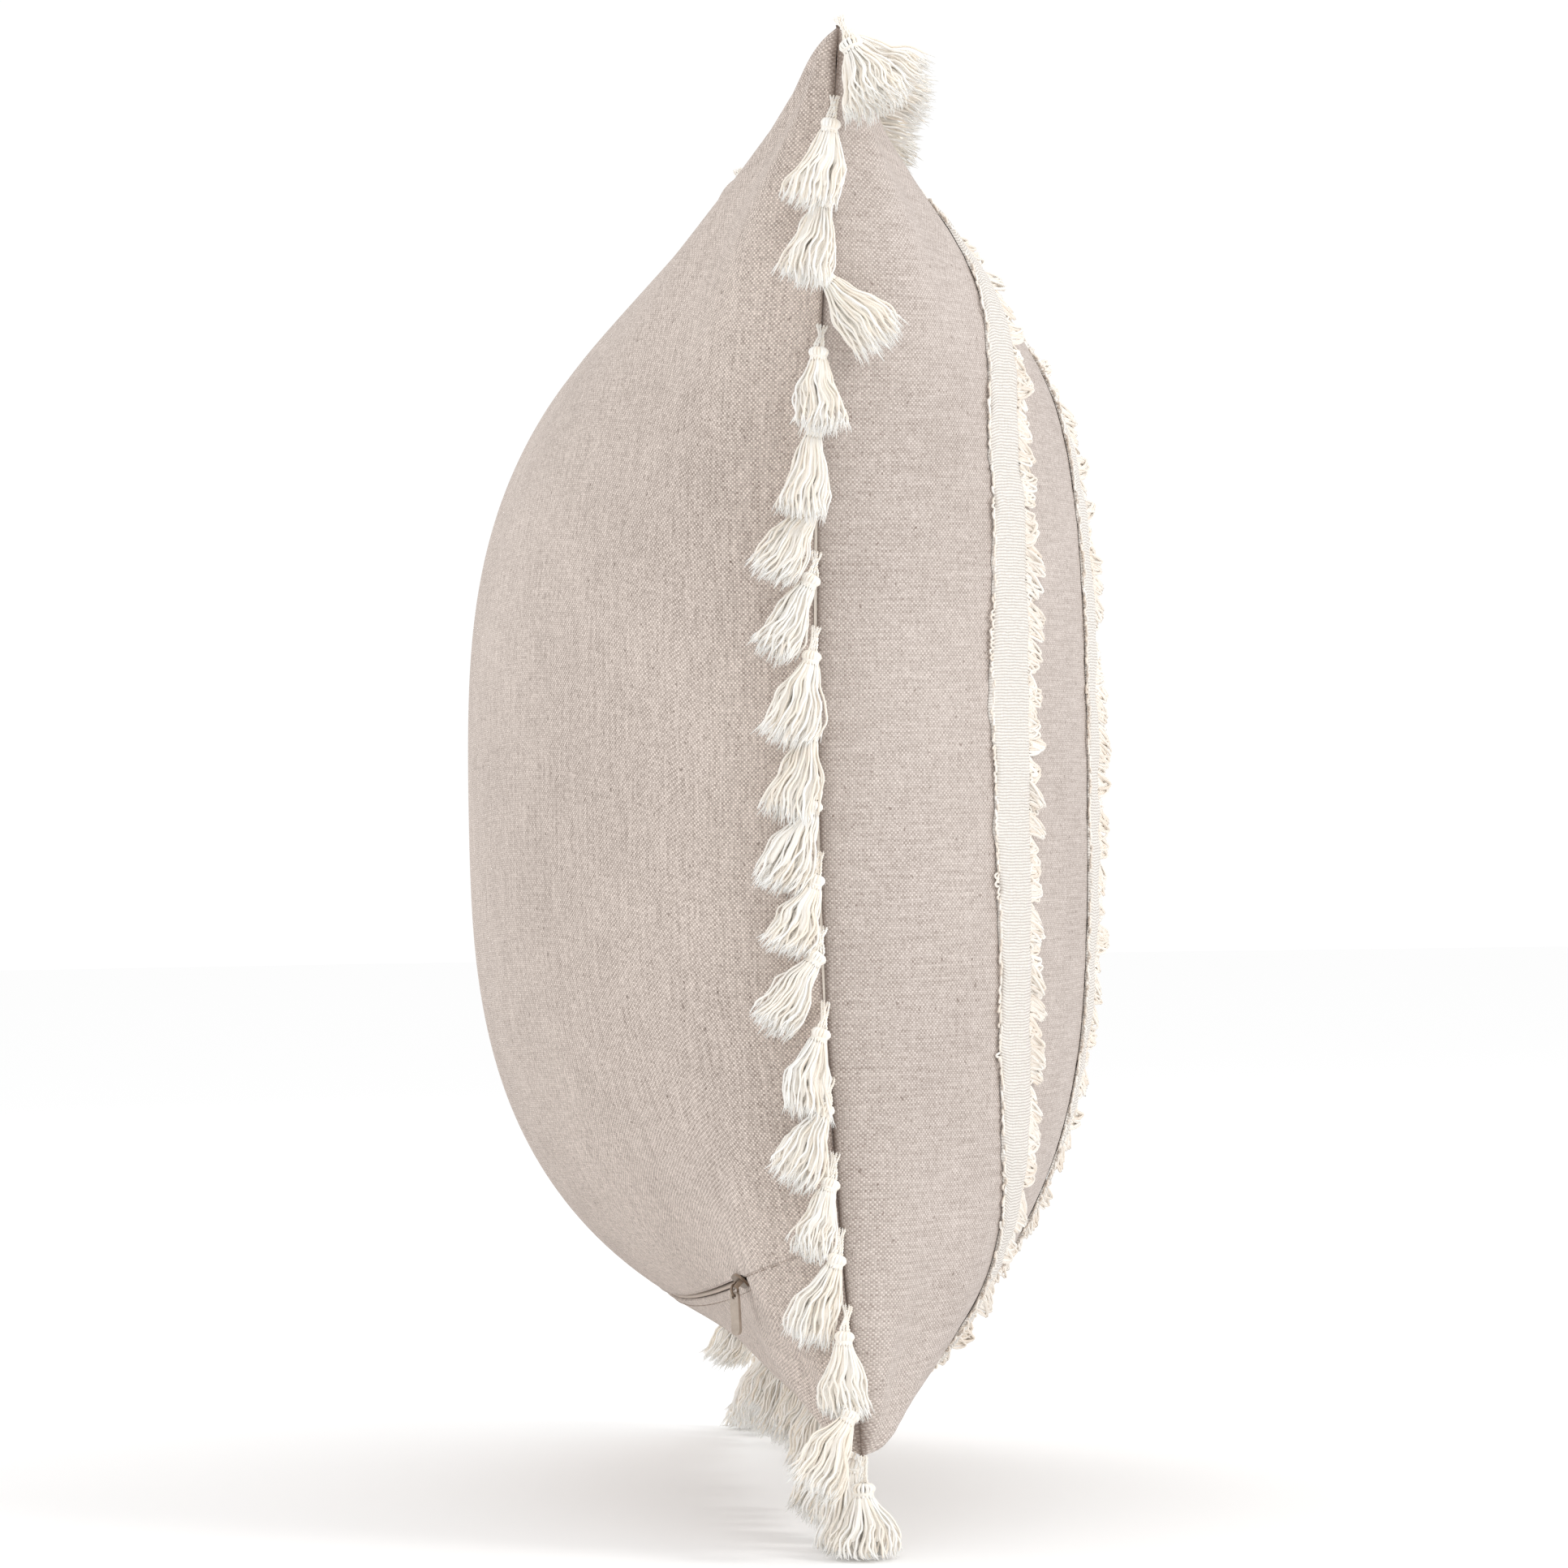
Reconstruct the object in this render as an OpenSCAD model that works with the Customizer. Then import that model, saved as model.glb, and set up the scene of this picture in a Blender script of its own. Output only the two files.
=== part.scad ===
// Square throw pillow with a tassel edge, woven trim bands and a hidden zip.
// It stands upright: +Z is up, -Y is the banded front and +Y is the plain back with the zip.
// The origin is at the bottom centre of the whole pillow, level with the lowest tassel tips.

/* [Cover] */
// Side of the square cover, sewn and laid flat
cover_side = 508; // [457:1:559]
// Corner to corner distance along a stuffed side, as a share of the flat side
side_share = 0.955; // [0.94:0.005:0.97]
// How far the back crowns behind the edge seam
back_depth = 121; // [110:1:126]
// How far the front crowns before the edge seam
front_depth = 110; // [100:1:116]
// How far the upright sides pull in half way up, as a share of half the width
side_pull = 0.12; // [0.10:0.005:0.14]
// How far the top edge dips between its corners, as a share of half the height
top_pull = 0.215; // [0.19:0.005:0.22]
// How far the bottom edge rises between its corners, as a share of half the height
bottom_pull = 0.096; // [0.08:0.004:0.10]
// How much lower the right end of the top edge stands, as a share of half the height
top_slope = 0.035; // [0:0.005:0.04]
// How far the upright seams bow towards the back half way up
seam_bow = 9.5; // [0:0.5:12]

/* [Trim bands] */
// Number of woven bands sewn up the front
band_count = 5; // [1:2:5]
// Width of a band's woven tape
band_width = 20; // [12:1:21]
// Width of the short loops on the band's outer edge
short_loops = 3; // [1:0.5:4]
// Width of the long loops on the band's inner edge
long_loops = 7; // [3:0.5:8]

/* [Tassels] */
// Tassels on each side, between the two at its corners
side_tassels = 18; // [10:1:18]
// Length of a tassel's skirt
skirt_length = 19; // [14:1:19]
// Radius of a skirt at its frayed end
skirt_radius = 7.5; // [5:0.5:7.5]
// Length of a corner tassel's skirt
corner_skirt_length = 21; // [16:0.5:22]
// Radius of a corner skirt at its frayed end
corner_skirt_radius = 12; // [8:0.5:12]

/* [Zip] */
// Half the straight distance between the ends of the zip
zip_half = 207; // [200:1:208]
// How far the middle of the zip bulges past its ends
zip_sag = 25; // [22:1:28]
// Width of each zip tape
tape_width = 7; // [6:0.5:7]
// Length of the pull tab
tab_length = 15; // [12:1:16]
// Width of the pull tab
tab_width = 3.4; // [3:0.1:4]

/* [Hidden] */
$fn = 32;

linen = [0.79, 0.74, 0.70];
ivory = [0.93, 0.90, 0.85];
white = [0.95, 0.95, 0.94];
taupe = [0.67, 0.62, 0.57];
bronze = [0.38, 0.33, 0.28];

// Nested skins: each is the cover's outer form, shrunk towards the middle of the pillow.
cover_inside = 0.993;
insert_outside = 0.944;
insert_inside = 0.939;
fill_outside = 0.937;
band_inside = 1.003;
band_outside = 1.014;
loops_outside = 1.010;

// Crown shape: the exponents that round the cover across, up and towards the seam.
round_across = 2.23;
round_up = 3;
back_blunt = 0.637;
front_blunt = 0.517;
top_sharpness = 0.2;
back_settle = 0.087;
seam_gap = 0.1;

half = cover_side * side_share / 2;
size_scale = cover_side / 508;
edge_pitch = 2 / (side_tassels + 1);

corner_loop = 8;
corner_head = 4;
corner_reach = corner_loop + corner_head + corner_skirt_length;
middle_z = half + corner_reach;
seam_y = (front_depth * band_outside - back_depth) / 2;
middle = [0, seam_y, middle_z];

// ---- Form of the cover, from across = -1 (left) to 1 and up = -1 (bottom) to 1 ----

function crown(across, up, settle, blunt) =
    let (settled = up + settle * (1 - up * up))
    pow(max(0, (1 - pow(abs(across), round_across)) * (1 - pow(abs(settled), round_up))), blunt);

function seam_plane(across, up) =
    let (rise = up < 0 ? bottom_pull : top_pull)
    let (slope = top_slope * pow(max(0, up), 2) * (1 + across) / 2)
    [half * across * (1 - side_pull * (1 - up * up)),
     seam_y + seam_bow * (1 - up * up) * across * across,
     middle_z + half * (up * (1 - rise * (1 - across * across)) - slope)];

function ease(share) = share * share * (3 - 2 * share);

// The front is blunter low down than it is below its two upper corners.
function front_point(across, up) =
    let (blunt = front_blunt + top_sharpness * ease(max(0, up - 0.6) / 0.4))
    seam_plane(across, up) - [0, seam_gap + front_depth * crown(across, up, 0, blunt), 0];

function back_form(across, up) =
    seam_plane(across, up) + [0, back_depth * crown(across, up, back_settle, back_blunt), 0];

function shrink(point, share) = middle + share * (point - middle);

// ---- The zip lies on an arc in a tilted plane, which draws the back in along it ----

zip_tilt = 48;
zip_end_depth = 35.5 * size_scale;
zip_end_height = -182 * size_scale;
zip_fade = 19;
upper_lip = 1;
lower_lip = 4.5;
closed_lip = 0.2;

arc_radius = (zip_half * zip_half + zip_sag * zip_sag) / (2 * zip_sag);
arc_angle = asin(zip_half / arc_radius);
outward = [0, cos(zip_tilt), -sin(zip_tilt)];
upward = [0, sin(zip_tilt), cos(zip_tilt)];
zip_middle = [0, seam_y + zip_end_depth, middle_z + zip_end_height] + zip_sag * outward;
arc_centre = zip_middle - arc_radius * outward;

function arc_point(x) =
    let (side = min(abs(x), zip_half + zip_fade))
    zip_middle + [x, 0, 0] + (sqrt(arc_radius * arc_radius - side * side) - arc_radius) * outward;

// Height of the zip line on the back, and how far the zip holds the cloth at that point.
function zip_line(across) = -0.909 + 0.2 * pow(abs(across), 3.3);

function zip_hold(across) =
    let (x = abs(back_form(across, zip_line(across))[0]))
    ease(1 - min(1, max(0, x - zip_half) / zip_fade));

function near_zip(across, up) =
    let (line = zip_line(across), above = (up - line) / (1 - line), below = (up + 1) / (line + 1))
    up >= line ? ease(1 - min(1, above / 0.35)) : ease(below);

function back_point(across, up, lip = 0) =
    let (base = back_form(across, zip_line(across)), hold = zip_hold(across))
    back_form(across, up)
        + near_zip(across, up) * (hold * (arc_point(base[0]) - base) + lip * upward);

function lip_at(across, width) = closed_lip + zip_hold(across) * (width - closed_lip);

// ---- Grids of points, closer together at the seams ----

panel_cells = 28;
insert_cells = 20;

function spread(i, cells) = sin(90 * (2 * i / cells - 1));

function front_grid(share, cells) = [
    for (j = [0:cells]) for (i = [0:cells])
        shrink(front_point(spread(i, cells), spread(j, cells)), share)
];

function back_grid(share, cells) = [
    for (j = [0:cells]) for (i = [0:cells])
        shrink(back_point(spread(i, cells), spread(j, cells)), share)
];

upper_rows = 22;
lower_rows = 10;

function upper_grid(share) = [
    for (j = [0:upper_rows]) for (i = [0:panel_cells])
        let (across = spread(i, panel_cells), line = zip_line(across))
        let (up = line + (1 - line) * sin(90 * j / upper_rows))
        shrink(back_point(across, up, lip_at(across, upper_lip)), share)
];

function lower_grid(share) = [
    for (j = [0:lower_rows]) for (i = [0:panel_cells])
        let (across = spread(i, panel_cells), line = zip_line(across))
        let (up = line - (1 + line) * cos(90 * j / lower_rows))
        shrink(back_point(across, up, -lip_at(across, lower_lip)), share)
];

// Closed shell between two grids of the same size; flip turns its faces for the other side.
// Each cell is split along a diagonal, which at a corner of the grid starts at that corner.
module shell(outer, inner, columns, rows, flip) {
    count = (columns + 1) * (rows + 1);
    function at(i, j, skin) = j * (columns + 1) + i + skin * count;
    function turn(face, over) = over ? [face[2], face[1], face[0]] : face;
    skins = [
        for (skin = [0, 1]) for (j = [0:rows - 1]) for (i = [0:columns - 1])
            let (a = at(i, j, skin), b = at(i + 1, j, skin))
            let (c = at(i + 1, j + 1, skin), d = at(i, j + 1, skin))
            let (corner = (i == 0 && j == rows - 1) || (i == columns - 1 && j == 0))
            for (face = corner ? [[a, b, d], [b, c, d]] : [[a, b, c], [a, c, d]])
                turn(face, (skin == 0) != flip)
    ];
    level_rims = [
        for (j = [0, rows]) for (i = [0:columns - 1])
            let (a = at(i, j, 0), b = at(i + 1, j, 0), c = at(i + 1, j, 1), d = at(i, j, 1))
            for (face = [[a, b, c], [a, c, d]]) turn(face, (j == 0) == flip)
    ];
    upright_rims = [
        for (i = [0, columns]) for (j = [0:rows - 1])
            let (a = at(i, j, 0), b = at(i, j + 1, 0), c = at(i, j + 1, 1), d = at(i, j, 1))
            for (face = [[a, b, c], [a, c, d]]) turn(face, (i == 0) != flip)
    ];
    polyhedron(concat(outer, inner), concat(skins, level_rims, upright_rims), convexity = 6);
}

// ---- Insert ----

module insert_fill() {
    cells = insert_cells;
    color(white)
        shell(front_grid(fill_outside, cells), back_grid(fill_outside, cells), cells, cells, false);
}

module insert_shell_front() {
    cells = insert_cells;
    color(white)
        shell(front_grid(insert_outside, cells), front_grid(insert_inside, cells), cells, cells, false);
}

module insert_shell_back() {
    cells = insert_cells;
    color(white)
        shell(back_grid(insert_outside, cells), back_grid(insert_inside, cells), cells, cells, true);
}

// ---- Cover ----

module front_panel() {
    cells = panel_cells;
    color(linen)
        shell(front_grid(1, cells), front_grid(cover_inside, cells), cells, cells, false);
}

module back_upper_panel() {
    color(linen)
        shell(upper_grid(1), upper_grid(cover_inside), panel_cells, upper_rows, true);
}

module back_lower_panel() {
    color(linen)
        shell(lower_grid(1), lower_grid(cover_inside), panel_cells, lower_rows, true);
}

// ---- Woven bands: a tape with short loops on one edge and long loops on the other ----

band_pitch = 1.0276 * cover_side / (band_count + 1);
band_rows = 28;

// Turns a distance across the flat panel, as a share of half its width, into a place on the form.
function laid(flat, up) =
    let (drawn_in = 1 - 0.08 * ease(max(0, abs(up) - 0.45) / 0.55))
    flat * drawn_in * (1 + 0.246 * pow(1 - up * up, 0.6) * (1 - 0.6 * flat * flat));

module trim_band(number) {
    centre = (number - (band_count + 1) / 2) * band_pitch;
    outer_side = centre > 0 ? 1 : -1;
    left_loops = outer_side > 0 ? long_loops : short_loops;
    right_loops = outer_side > 0 ? short_loops : long_loops;
    left = centre - band_width / 2;
    right = centre + band_width / 2;
    edges = [left - left_loops, left, left + 0.5, right - 0.5, right, right + right_loops];
    tops = [loops_outside, loops_outside, band_outside, band_outside, loops_outside, loops_outside];
    rows = [for (j = [0:band_rows]) 0.9985 * spread(j, band_rows)];
    function skin(shares) = [
        for (up = rows) for (i = [0:len(edges) - 1])
            shrink(front_point(laid(edges[i] / (cover_side / 2), up), up), shares[i])
    ];
    color(ivory)
        shell(skin(tops), skin([for (edge = edges) band_inside]), len(edges) - 1, band_rows, false);
}

module trim_band_1() trim_band(1);
module trim_band_2() trim_band(2);
module trim_band_3() trim_band(3);
module trim_band_4() trim_band(4);
module trim_band_5() trim_band(5);

// ---- Zip, all of it turned about the axis of the arc it lies on ----

tape_top = -3.1;
tape_thick = 0.5;
tape_gap = 0.8;
tape_knee = 2.6;
coil_radius = 0.7;
coil_depth = -4.4;
coil_offset = 1.7;
rest_angle = arc_angle - 0.57;
stop_start = arc_angle - 0.17;

module on_arc() {
    translate(arc_centre) rotate([-zip_tilt, 0, 0]) children();
}

// Sweeps a profile, given as distance outward and up the back, along the arc.
module sweep(from, angle) {
    on_arc() rotate([0, 0, 90 + from])
        rotate_extrude(angle = angle, $fn = 180) translate([arc_radius, 0]) children();
}

// A tape lies flat beside the coils and then bends inward by the given amount to its edge.
module zip_tape(side, bend) {
    top = [[tape_top, tape_gap], [tape_top, tape_knee], [tape_top - bend, tape_width]];
    low = [for (i = [2:-1:0]) top[i] - [tape_thick, 0]];
    color(linen) sweep(-arc_angle, 2 * arc_angle)
        polygon([for (point = concat(top, low)) [point[0], side * point[1]]]);
}

module zip_tape_upper() zip_tape(1, 2.1);
module zip_tape_lower() zip_tape(-1, 0.1);

module zip_coil(offset) {
    color(taupe)
        sweep(-arc_angle, 2 * arc_angle) translate([coil_depth, offset]) circle(r = coil_radius);
}

module zip_coil_upper() zip_coil(coil_offset);
module zip_coil_lower() zip_coil(-coil_offset);

// Metal clip on the outer face of both tapes at one end of the zip.
module zip_stop(from) {
    color(bronze)
        sweep(from, arc_angle - stop_start)
            translate([tape_top + 0.05, -2]) square([0.9, 4]);
}

module zip_stop_closed() zip_stop(stop_start);
module zip_stop_open() zip_stop(-arc_angle);

// ---- Slider and pull; X runs along the zip, Y outward and Z up the back ----

slider_length = 9.5;
slider_width = 6.4;
plate_thick = 1;
plate_lift = 0.3;
bar_lift = 3.9;
bar_radius = 0.5;
bridge_span = 7;
bridge_width = 1.6;
ring_radius = 1.9;
wire_radius = 0.45;
ring_drop = ring_radius - wire_radius - bar_radius - 0.05;
hole_radius = 0.9;
hole_drop = 0.25;
tab_thick = 1.4;

// How far the pull has turned on the slider's bar about the line it hangs on.
pull_turn = 42;

// Where the pull hangs straight down, turned from the way up the back.
hang_angle = atan2(cos(rest_angle) * sin(zip_tilt), cos(zip_tilt));

module at_slider() {
    on_arc() rotate([0, 0, rest_angle]) translate([0, arc_radius, 0]) children();
}

module at_pull() {
    at_slider() translate([0, bar_lift, 0]) rotate([hang_angle, 0, 0])
        rotate([0, 0, pull_turn]) children();
}

// Outline of the slider from outside: parallel sides and a rounded nose at each end.
module slider_outline() {
    nose = slider_width / 2;
    square([slider_length - 2 * nose, slider_width], center = true);
    for (side = [-1, 1]) translate([side * (slider_length / 2 - nose), 0]) circle(r = nose);
}

module slider_body() {
    under = coil_depth - coil_radius - 0.15;
    color(bronze) at_slider() {
        translate([0, plate_lift + plate_thick, 0])
            rotate([90, 0, 0]) linear_extrude(height = plate_thick) slider_outline();
        translate([0, under, 0])
            rotate([90, 0, 0]) linear_extrude(height = 0.8) slider_outline();
        translate([-slider_length / 2 + 1, under - 0.4, -0.4])
            cube([2.2, plate_lift + 0.8 - under, 0.8]);
        for (side = [-1, 1]) translate([-1.6, under - 0.4, side * 2.85 - 0.25])
            cube([3.2, 1.5, 0.5]);
    }
}

module slider_bridge() {
    foot = plate_lift + plate_thick;
    color(bronze) at_slider() {
        for (side = [-1, 1]) translate([side * (bridge_span / 2 - 0.6) - 0.6, foot, -bridge_width / 2])
            cube([1.2, bar_lift + bar_radius - foot, bridge_width]);
        translate([-bridge_span / 2 + 0.6, bar_lift, 0]) rotate([0, 90, 0])
            cylinder(r = bar_radius, h = bridge_span - 1.2);
    }
}

module pull_link() {
    color(bronze) at_pull() translate([0, 0, -ring_drop]) rotate([0, 90, 0])
        rotate_extrude($fn = 48) translate([ring_radius, 0]) circle(r = wire_radius);
}

module pull_tab() {
    top = -ring_drop - ring_radius - hole_drop;
    end = tab_width / 2;
    color(taupe) at_pull() translate([0, tab_thick / 2, top]) rotate([90, 0, 0])
        linear_extrude(height = tab_thick) difference() {
            union() {
                circle(r = end);
                translate([-end, -tab_length + 2 * end]) square([2 * end, tab_length - 2 * end]);
                translate([0, -tab_length + 2 * end]) circle(r = end);
            }
            circle(r = hole_radius);
        }
}

// ---- Tassel header: the flat braid sewn into the edge seam, inside the cover ----

header_outside = 0.986;
header_inside = 0.970;
header_thick = 1;
header_steps = 24;
header_reach = 0.95;

module tassel_header(edge) {
    lift = [0, header_thick / 2, 0];
    flip = edge == "left" || edge == "top";
    function ribbon(way) = [
        for (share = [header_inside, header_outside]) for (i = [0:header_steps])
            shrink(seam_at(edge, header_reach * (2 * i / header_steps - 1)), share) + way * lift
    ];
    color(ivory) shell(ribbon(1), ribbon(-1), header_steps, 1, flip);
}

module tassel_header_left() tassel_header("left");
module tassel_header_right() tassel_header("right");
module tassel_header_top() tassel_header("top");
module tassel_header_bottom() tassel_header("bottom");

// ---- Tassels: a loop of two yarns, a bound head and a skirt of cut yarns ----

// Point on an edge seam, from -1 to 1 along that edge.
function seam_at(edge, along) =
    edge == "left" ? seam_plane(-1, along) :
    edge == "right" ? seam_plane(1, along) :
    edge == "top" ? seam_plane(along, 1) : seam_plane(along, -1);

// Way that a tassel's loop leaves the seam, with its length.
function loop_reach(edge, along) =
    let (side = 9.4 + 3.6 * max(0, -along), top = 13.4 - 7.4 * pow(abs(along), 4))
    edge == "left" ? [-side, 2, -8] :
    edge == "right" ? [side, 2, -8] :
    edge == "top" ? [0, -4, top] : [0, 1, -7];

// Way that a tassel hangs: flopped to the back at the sides, over the front at the top.
function hang_way(edge, along) =
    let (lean = 14 + 38 * pow(abs(along), 5))
    edge == "left" || edge == "right" ? [0, sin(20), -cos(20)] :
    edge == "top" ? [0, -cos(lean), -sin(lean)] : [0, sin(14), -cos(14)];

loop_yarn = 0.5;
head_radius = 2.6;
head_length = 4;
touch = 0.02;

// Turns +Z into the given way.
module along_way(way) {
    rotate([0, acos(way[2] / norm(way)), atan2(way[1], way[0])]) children();
}

// Two yarns side by side, ending just clear of the head that hangs the given way.
module loop(reach, way, spread_way) {
    turn = norm(cross(reach, way)) / norm(reach);
    start = 0.04 * reach;
    for (side = [-1, 1]) translate(start + side * 0.8 * spread_way) along_way(reach)
        cylinder(r = loop_yarn, h = 0.94 * norm(reach) - turn * (head_radius + 0.4));
}

module side_loops(edge) {
    spread_way = edge == "left" || edge == "right" ? [0, 0, 1] : [1, 0, 0];
    color(ivory) for (i = [1:side_tassels])
        let (along = i * edge_pitch - 1)
        translate(seam_at(edge, along))
            loop(loop_reach(edge, along), hang_way(edge, along), spread_way);
}

module side_heads(edge) {
    color(ivory) for (i = [1:side_tassels])
        let (along = i * edge_pitch - 1)
        translate(seam_at(edge, along) + loop_reach(edge, along)) along_way(hang_way(edge, along))
            cylinder(r = head_radius, h = head_length - touch);
}

module side_skirts(edge) {
    color(ivory) for (i = [1:side_tassels])
        let (along = i * edge_pitch - 1)
        translate(seam_at(edge, along) + loop_reach(edge, along)) along_way(hang_way(edge, along))
            translate([0, 0, head_length])
                cylinder(r1 = head_radius, r2 = skirt_radius, h = skirt_length);
}

module left_tassel_loops() side_loops("left");
module left_tassel_heads() side_heads("left");
module left_tassel_skirts() side_skirts("left");
module right_tassel_loops() side_loops("right");
module right_tassel_heads() side_heads("right");
module right_tassel_skirts() side_skirts("right");
module top_tassel_loops() side_loops("top");
module top_tassel_heads() side_heads("top");
module top_tassel_skirts() side_skirts("top");
module bottom_tassel_loops() side_loops("bottom");
module bottom_tassel_heads() side_heads("bottom");
module bottom_tassel_skirts() side_skirts("bottom");

// Corner tassels hang from the two lower tips and lie over the front at the two upper ones.
module each_corner(from) {
    color(ivory) for (across = [-1, 1]) for (up = [-1, 1])
        let (way = up < 0 ? [0, 0, -1] : [0.14 * across, -0.5, -0.85])
        translate(seam_plane(across, up) + from * way / norm(way)) along_way(way) children();
}

module corner_tassel_loops() {
    each_corner(0.8) for (side = [-1, 1]) translate([0, side * 0.8, 0])
        cylinder(r = loop_yarn, h = corner_loop - 1);
}

module corner_tassel_heads() {
    each_corner(corner_loop) cylinder(r = 3.2, h = corner_head - touch);
}

module corner_tassel_skirts() {
    each_corner(corner_loop + corner_head)
        cylinder(r1 = 3.2, r2 = corner_skirt_radius, h = corner_skirt_length);
}

insert_fill();
insert_shell_front();
insert_shell_back();
front_panel();
back_upper_panel();
back_lower_panel();
trim_band_1();
trim_band_2();
trim_band_3();
trim_band_4();
trim_band_5();
zip_tape_upper();
zip_tape_lower();
zip_coil_upper();
zip_coil_lower();
zip_stop_closed();
zip_stop_open();
slider_body();
slider_bridge();
pull_link();
pull_tab();
tassel_header_left();
tassel_header_right();
tassel_header_top();
tassel_header_bottom();
left_tassel_loops();
left_tassel_heads();
left_tassel_skirts();
right_tassel_loops();
right_tassel_heads();
right_tassel_skirts();
top_tassel_loops();
top_tassel_heads();
top_tassel_skirts();
bottom_tassel_loops();
bottom_tassel_heads();
bottom_tassel_skirts();
corner_tassel_loops();
corner_tassel_heads();
corner_tassel_skirts();
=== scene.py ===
import math

import bpy
import numpy as np
from mathutils import Matrix, Vector


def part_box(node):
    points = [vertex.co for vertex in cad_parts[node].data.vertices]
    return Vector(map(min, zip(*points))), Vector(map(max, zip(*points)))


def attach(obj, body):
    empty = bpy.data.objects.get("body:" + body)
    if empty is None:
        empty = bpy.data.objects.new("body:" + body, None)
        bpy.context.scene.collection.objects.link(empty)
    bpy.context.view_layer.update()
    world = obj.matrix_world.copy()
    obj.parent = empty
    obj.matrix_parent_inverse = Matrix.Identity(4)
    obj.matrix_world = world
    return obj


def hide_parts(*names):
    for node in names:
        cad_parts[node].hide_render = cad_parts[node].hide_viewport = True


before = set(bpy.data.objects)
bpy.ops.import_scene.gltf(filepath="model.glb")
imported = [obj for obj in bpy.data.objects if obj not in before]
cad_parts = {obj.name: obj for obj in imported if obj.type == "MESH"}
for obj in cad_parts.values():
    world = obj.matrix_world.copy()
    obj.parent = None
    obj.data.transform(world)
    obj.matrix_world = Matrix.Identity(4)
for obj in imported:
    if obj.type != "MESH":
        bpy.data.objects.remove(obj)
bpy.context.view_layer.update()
MM = 0.001
rng = np.random.default_rng(11)

# ---- Camera, level and side on to the pillow, at the photograph's angle ----

CAMERA_AT = Vector((-2.592, 0.200, 0.2614))
CAMERA_WAY = Vector((0.9969, -0.0787, 0.0)).normalized()
CAMERA_ROLL = math.radians(0.88)
CAMERA_LENS = 160.78
CAMERA_SHIFT = -0.0072


def add_object(name, data):
    made = bpy.data.objects.new(name, data)
    bpy.context.scene.collection.objects.link(made)
    return made


def make_camera():
    data = bpy.data.cameras.new("camera")
    data.sensor_width = 36
    data.lens = CAMERA_LENS
    data.shift_x = CAMERA_SHIFT
    data.clip_end = 50
    cam = add_object("camera", data)
    right = CAMERA_WAY.cross(Vector((0, 0, 1)))
    up = right.cross(CAMERA_WAY)
    turned_up = up * math.cos(CAMERA_ROLL) + right * math.sin(CAMERA_ROLL)
    turned_right = right * math.cos(CAMERA_ROLL) - up * math.sin(CAMERA_ROLL)
    axes = Matrix((turned_right, turned_up, -CAMERA_WAY)).transposed()
    cam.matrix_world = Matrix.Translation(CAMERA_AT) @ axes.to_4x4()
    bpy.context.scene.camera = cam


# ---- Studio: name, place, size, power and colour of each lamp ----

STUDIO_CENTRE = Vector((0, 0, 0.26))
SKY_STRENGTH = 1.02
LAMPS = (
    ("key", (-1.5, -2.0, 1.7), 1.0, 20, (1.0, 0.99, 0.975)),
    ("fill", (-1.6, 2.2, 1.2), 1.6, 2, (1, 1, 1)),
    ("rim", (1.8, 1.0, 1.6), 1.4, 8, (1, 1, 1)),
)
FLOOR_RADIUS = 8
FLOOR_SIDES = 96


def make_lamp(name, place, size, power, colour):
    data = bpy.data.lights.new(name, "AREA")
    data.shape = "DISK"
    data.size = size
    data.energy = power
    data.color = colour
    lamp = add_object(name, data)
    lamp.location = place
    way = STUDIO_CENTRE - Vector(place)
    lamp.rotation_mode = "QUATERNION"
    lamp.rotation_quaternion = way.to_track_quat("-Z", "Y")


def make_studio():
    scene = bpy.context.scene
    scene.view_settings.view_transform = "Standard"
    scene.view_settings.look = "None"
    world = bpy.data.worlds.new("studio")
    scene.world = world
    world.use_nodes = True
    back = world.node_tree.nodes["Background"]
    back.inputs["Color"].default_value = (1, 1, 1, 1)
    back.inputs["Strength"].default_value = SKY_STRENGTH
    for lamp in LAMPS:
        make_lamp(*lamp)


def make_floor():
    mesh = bpy.data.meshes.new("floor")
    turns = np.linspace(0, 2 * math.pi, FLOOR_SIDES + 1)[:-1]
    points = [(FLOOR_RADIUS * math.cos(a), FLOOR_RADIUS * math.sin(a), 0) for a in turns]
    mesh.from_pydata(points, [], [list(range(FLOOR_SIDES))])
    floor = add_object("floor", mesh)
    paint = Paint("floor_paint", base_color=(0.96, 0.96, 0.96, 1), roughness=1.0, specular_ior_level=0.0)
    mesh.materials.append(paint.material)


# ---- Form of the cover, as in the CAD: across and up run from -1 to 1 ----

panel_low, panel_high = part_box("front_panel")
HALF = (panel_high[0] - panel_low[0]) / 2
COVER_HALF = 254 * MM
FRONT_DEPTH = 110 * MM
BACK_DEPTH = 121 * MM
SEAM_GAP = 0.1 * MM
ACROSS_POWER = 2.23
UP_POWER = 3
FRONT_BLUNT = 0.517
TOP_SHARPNESS = 0.2
SHARP_FROM = 0.6
BACK_BLUNT = 0.637
BACK_SETTLE = 0.087
MIDDLE = np.array([0, panel_low[1] + FRONT_DEPTH + SEAM_GAP, (panel_low[2] + panel_high[2]) / 2])
SIDE_PULL = 0.12
TOP_PULL = 0.215
BOTTOM_PULL = 0.096
TOP_SLOPE = 0.035
SEAM_BOW = 9.5 * MM

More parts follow.
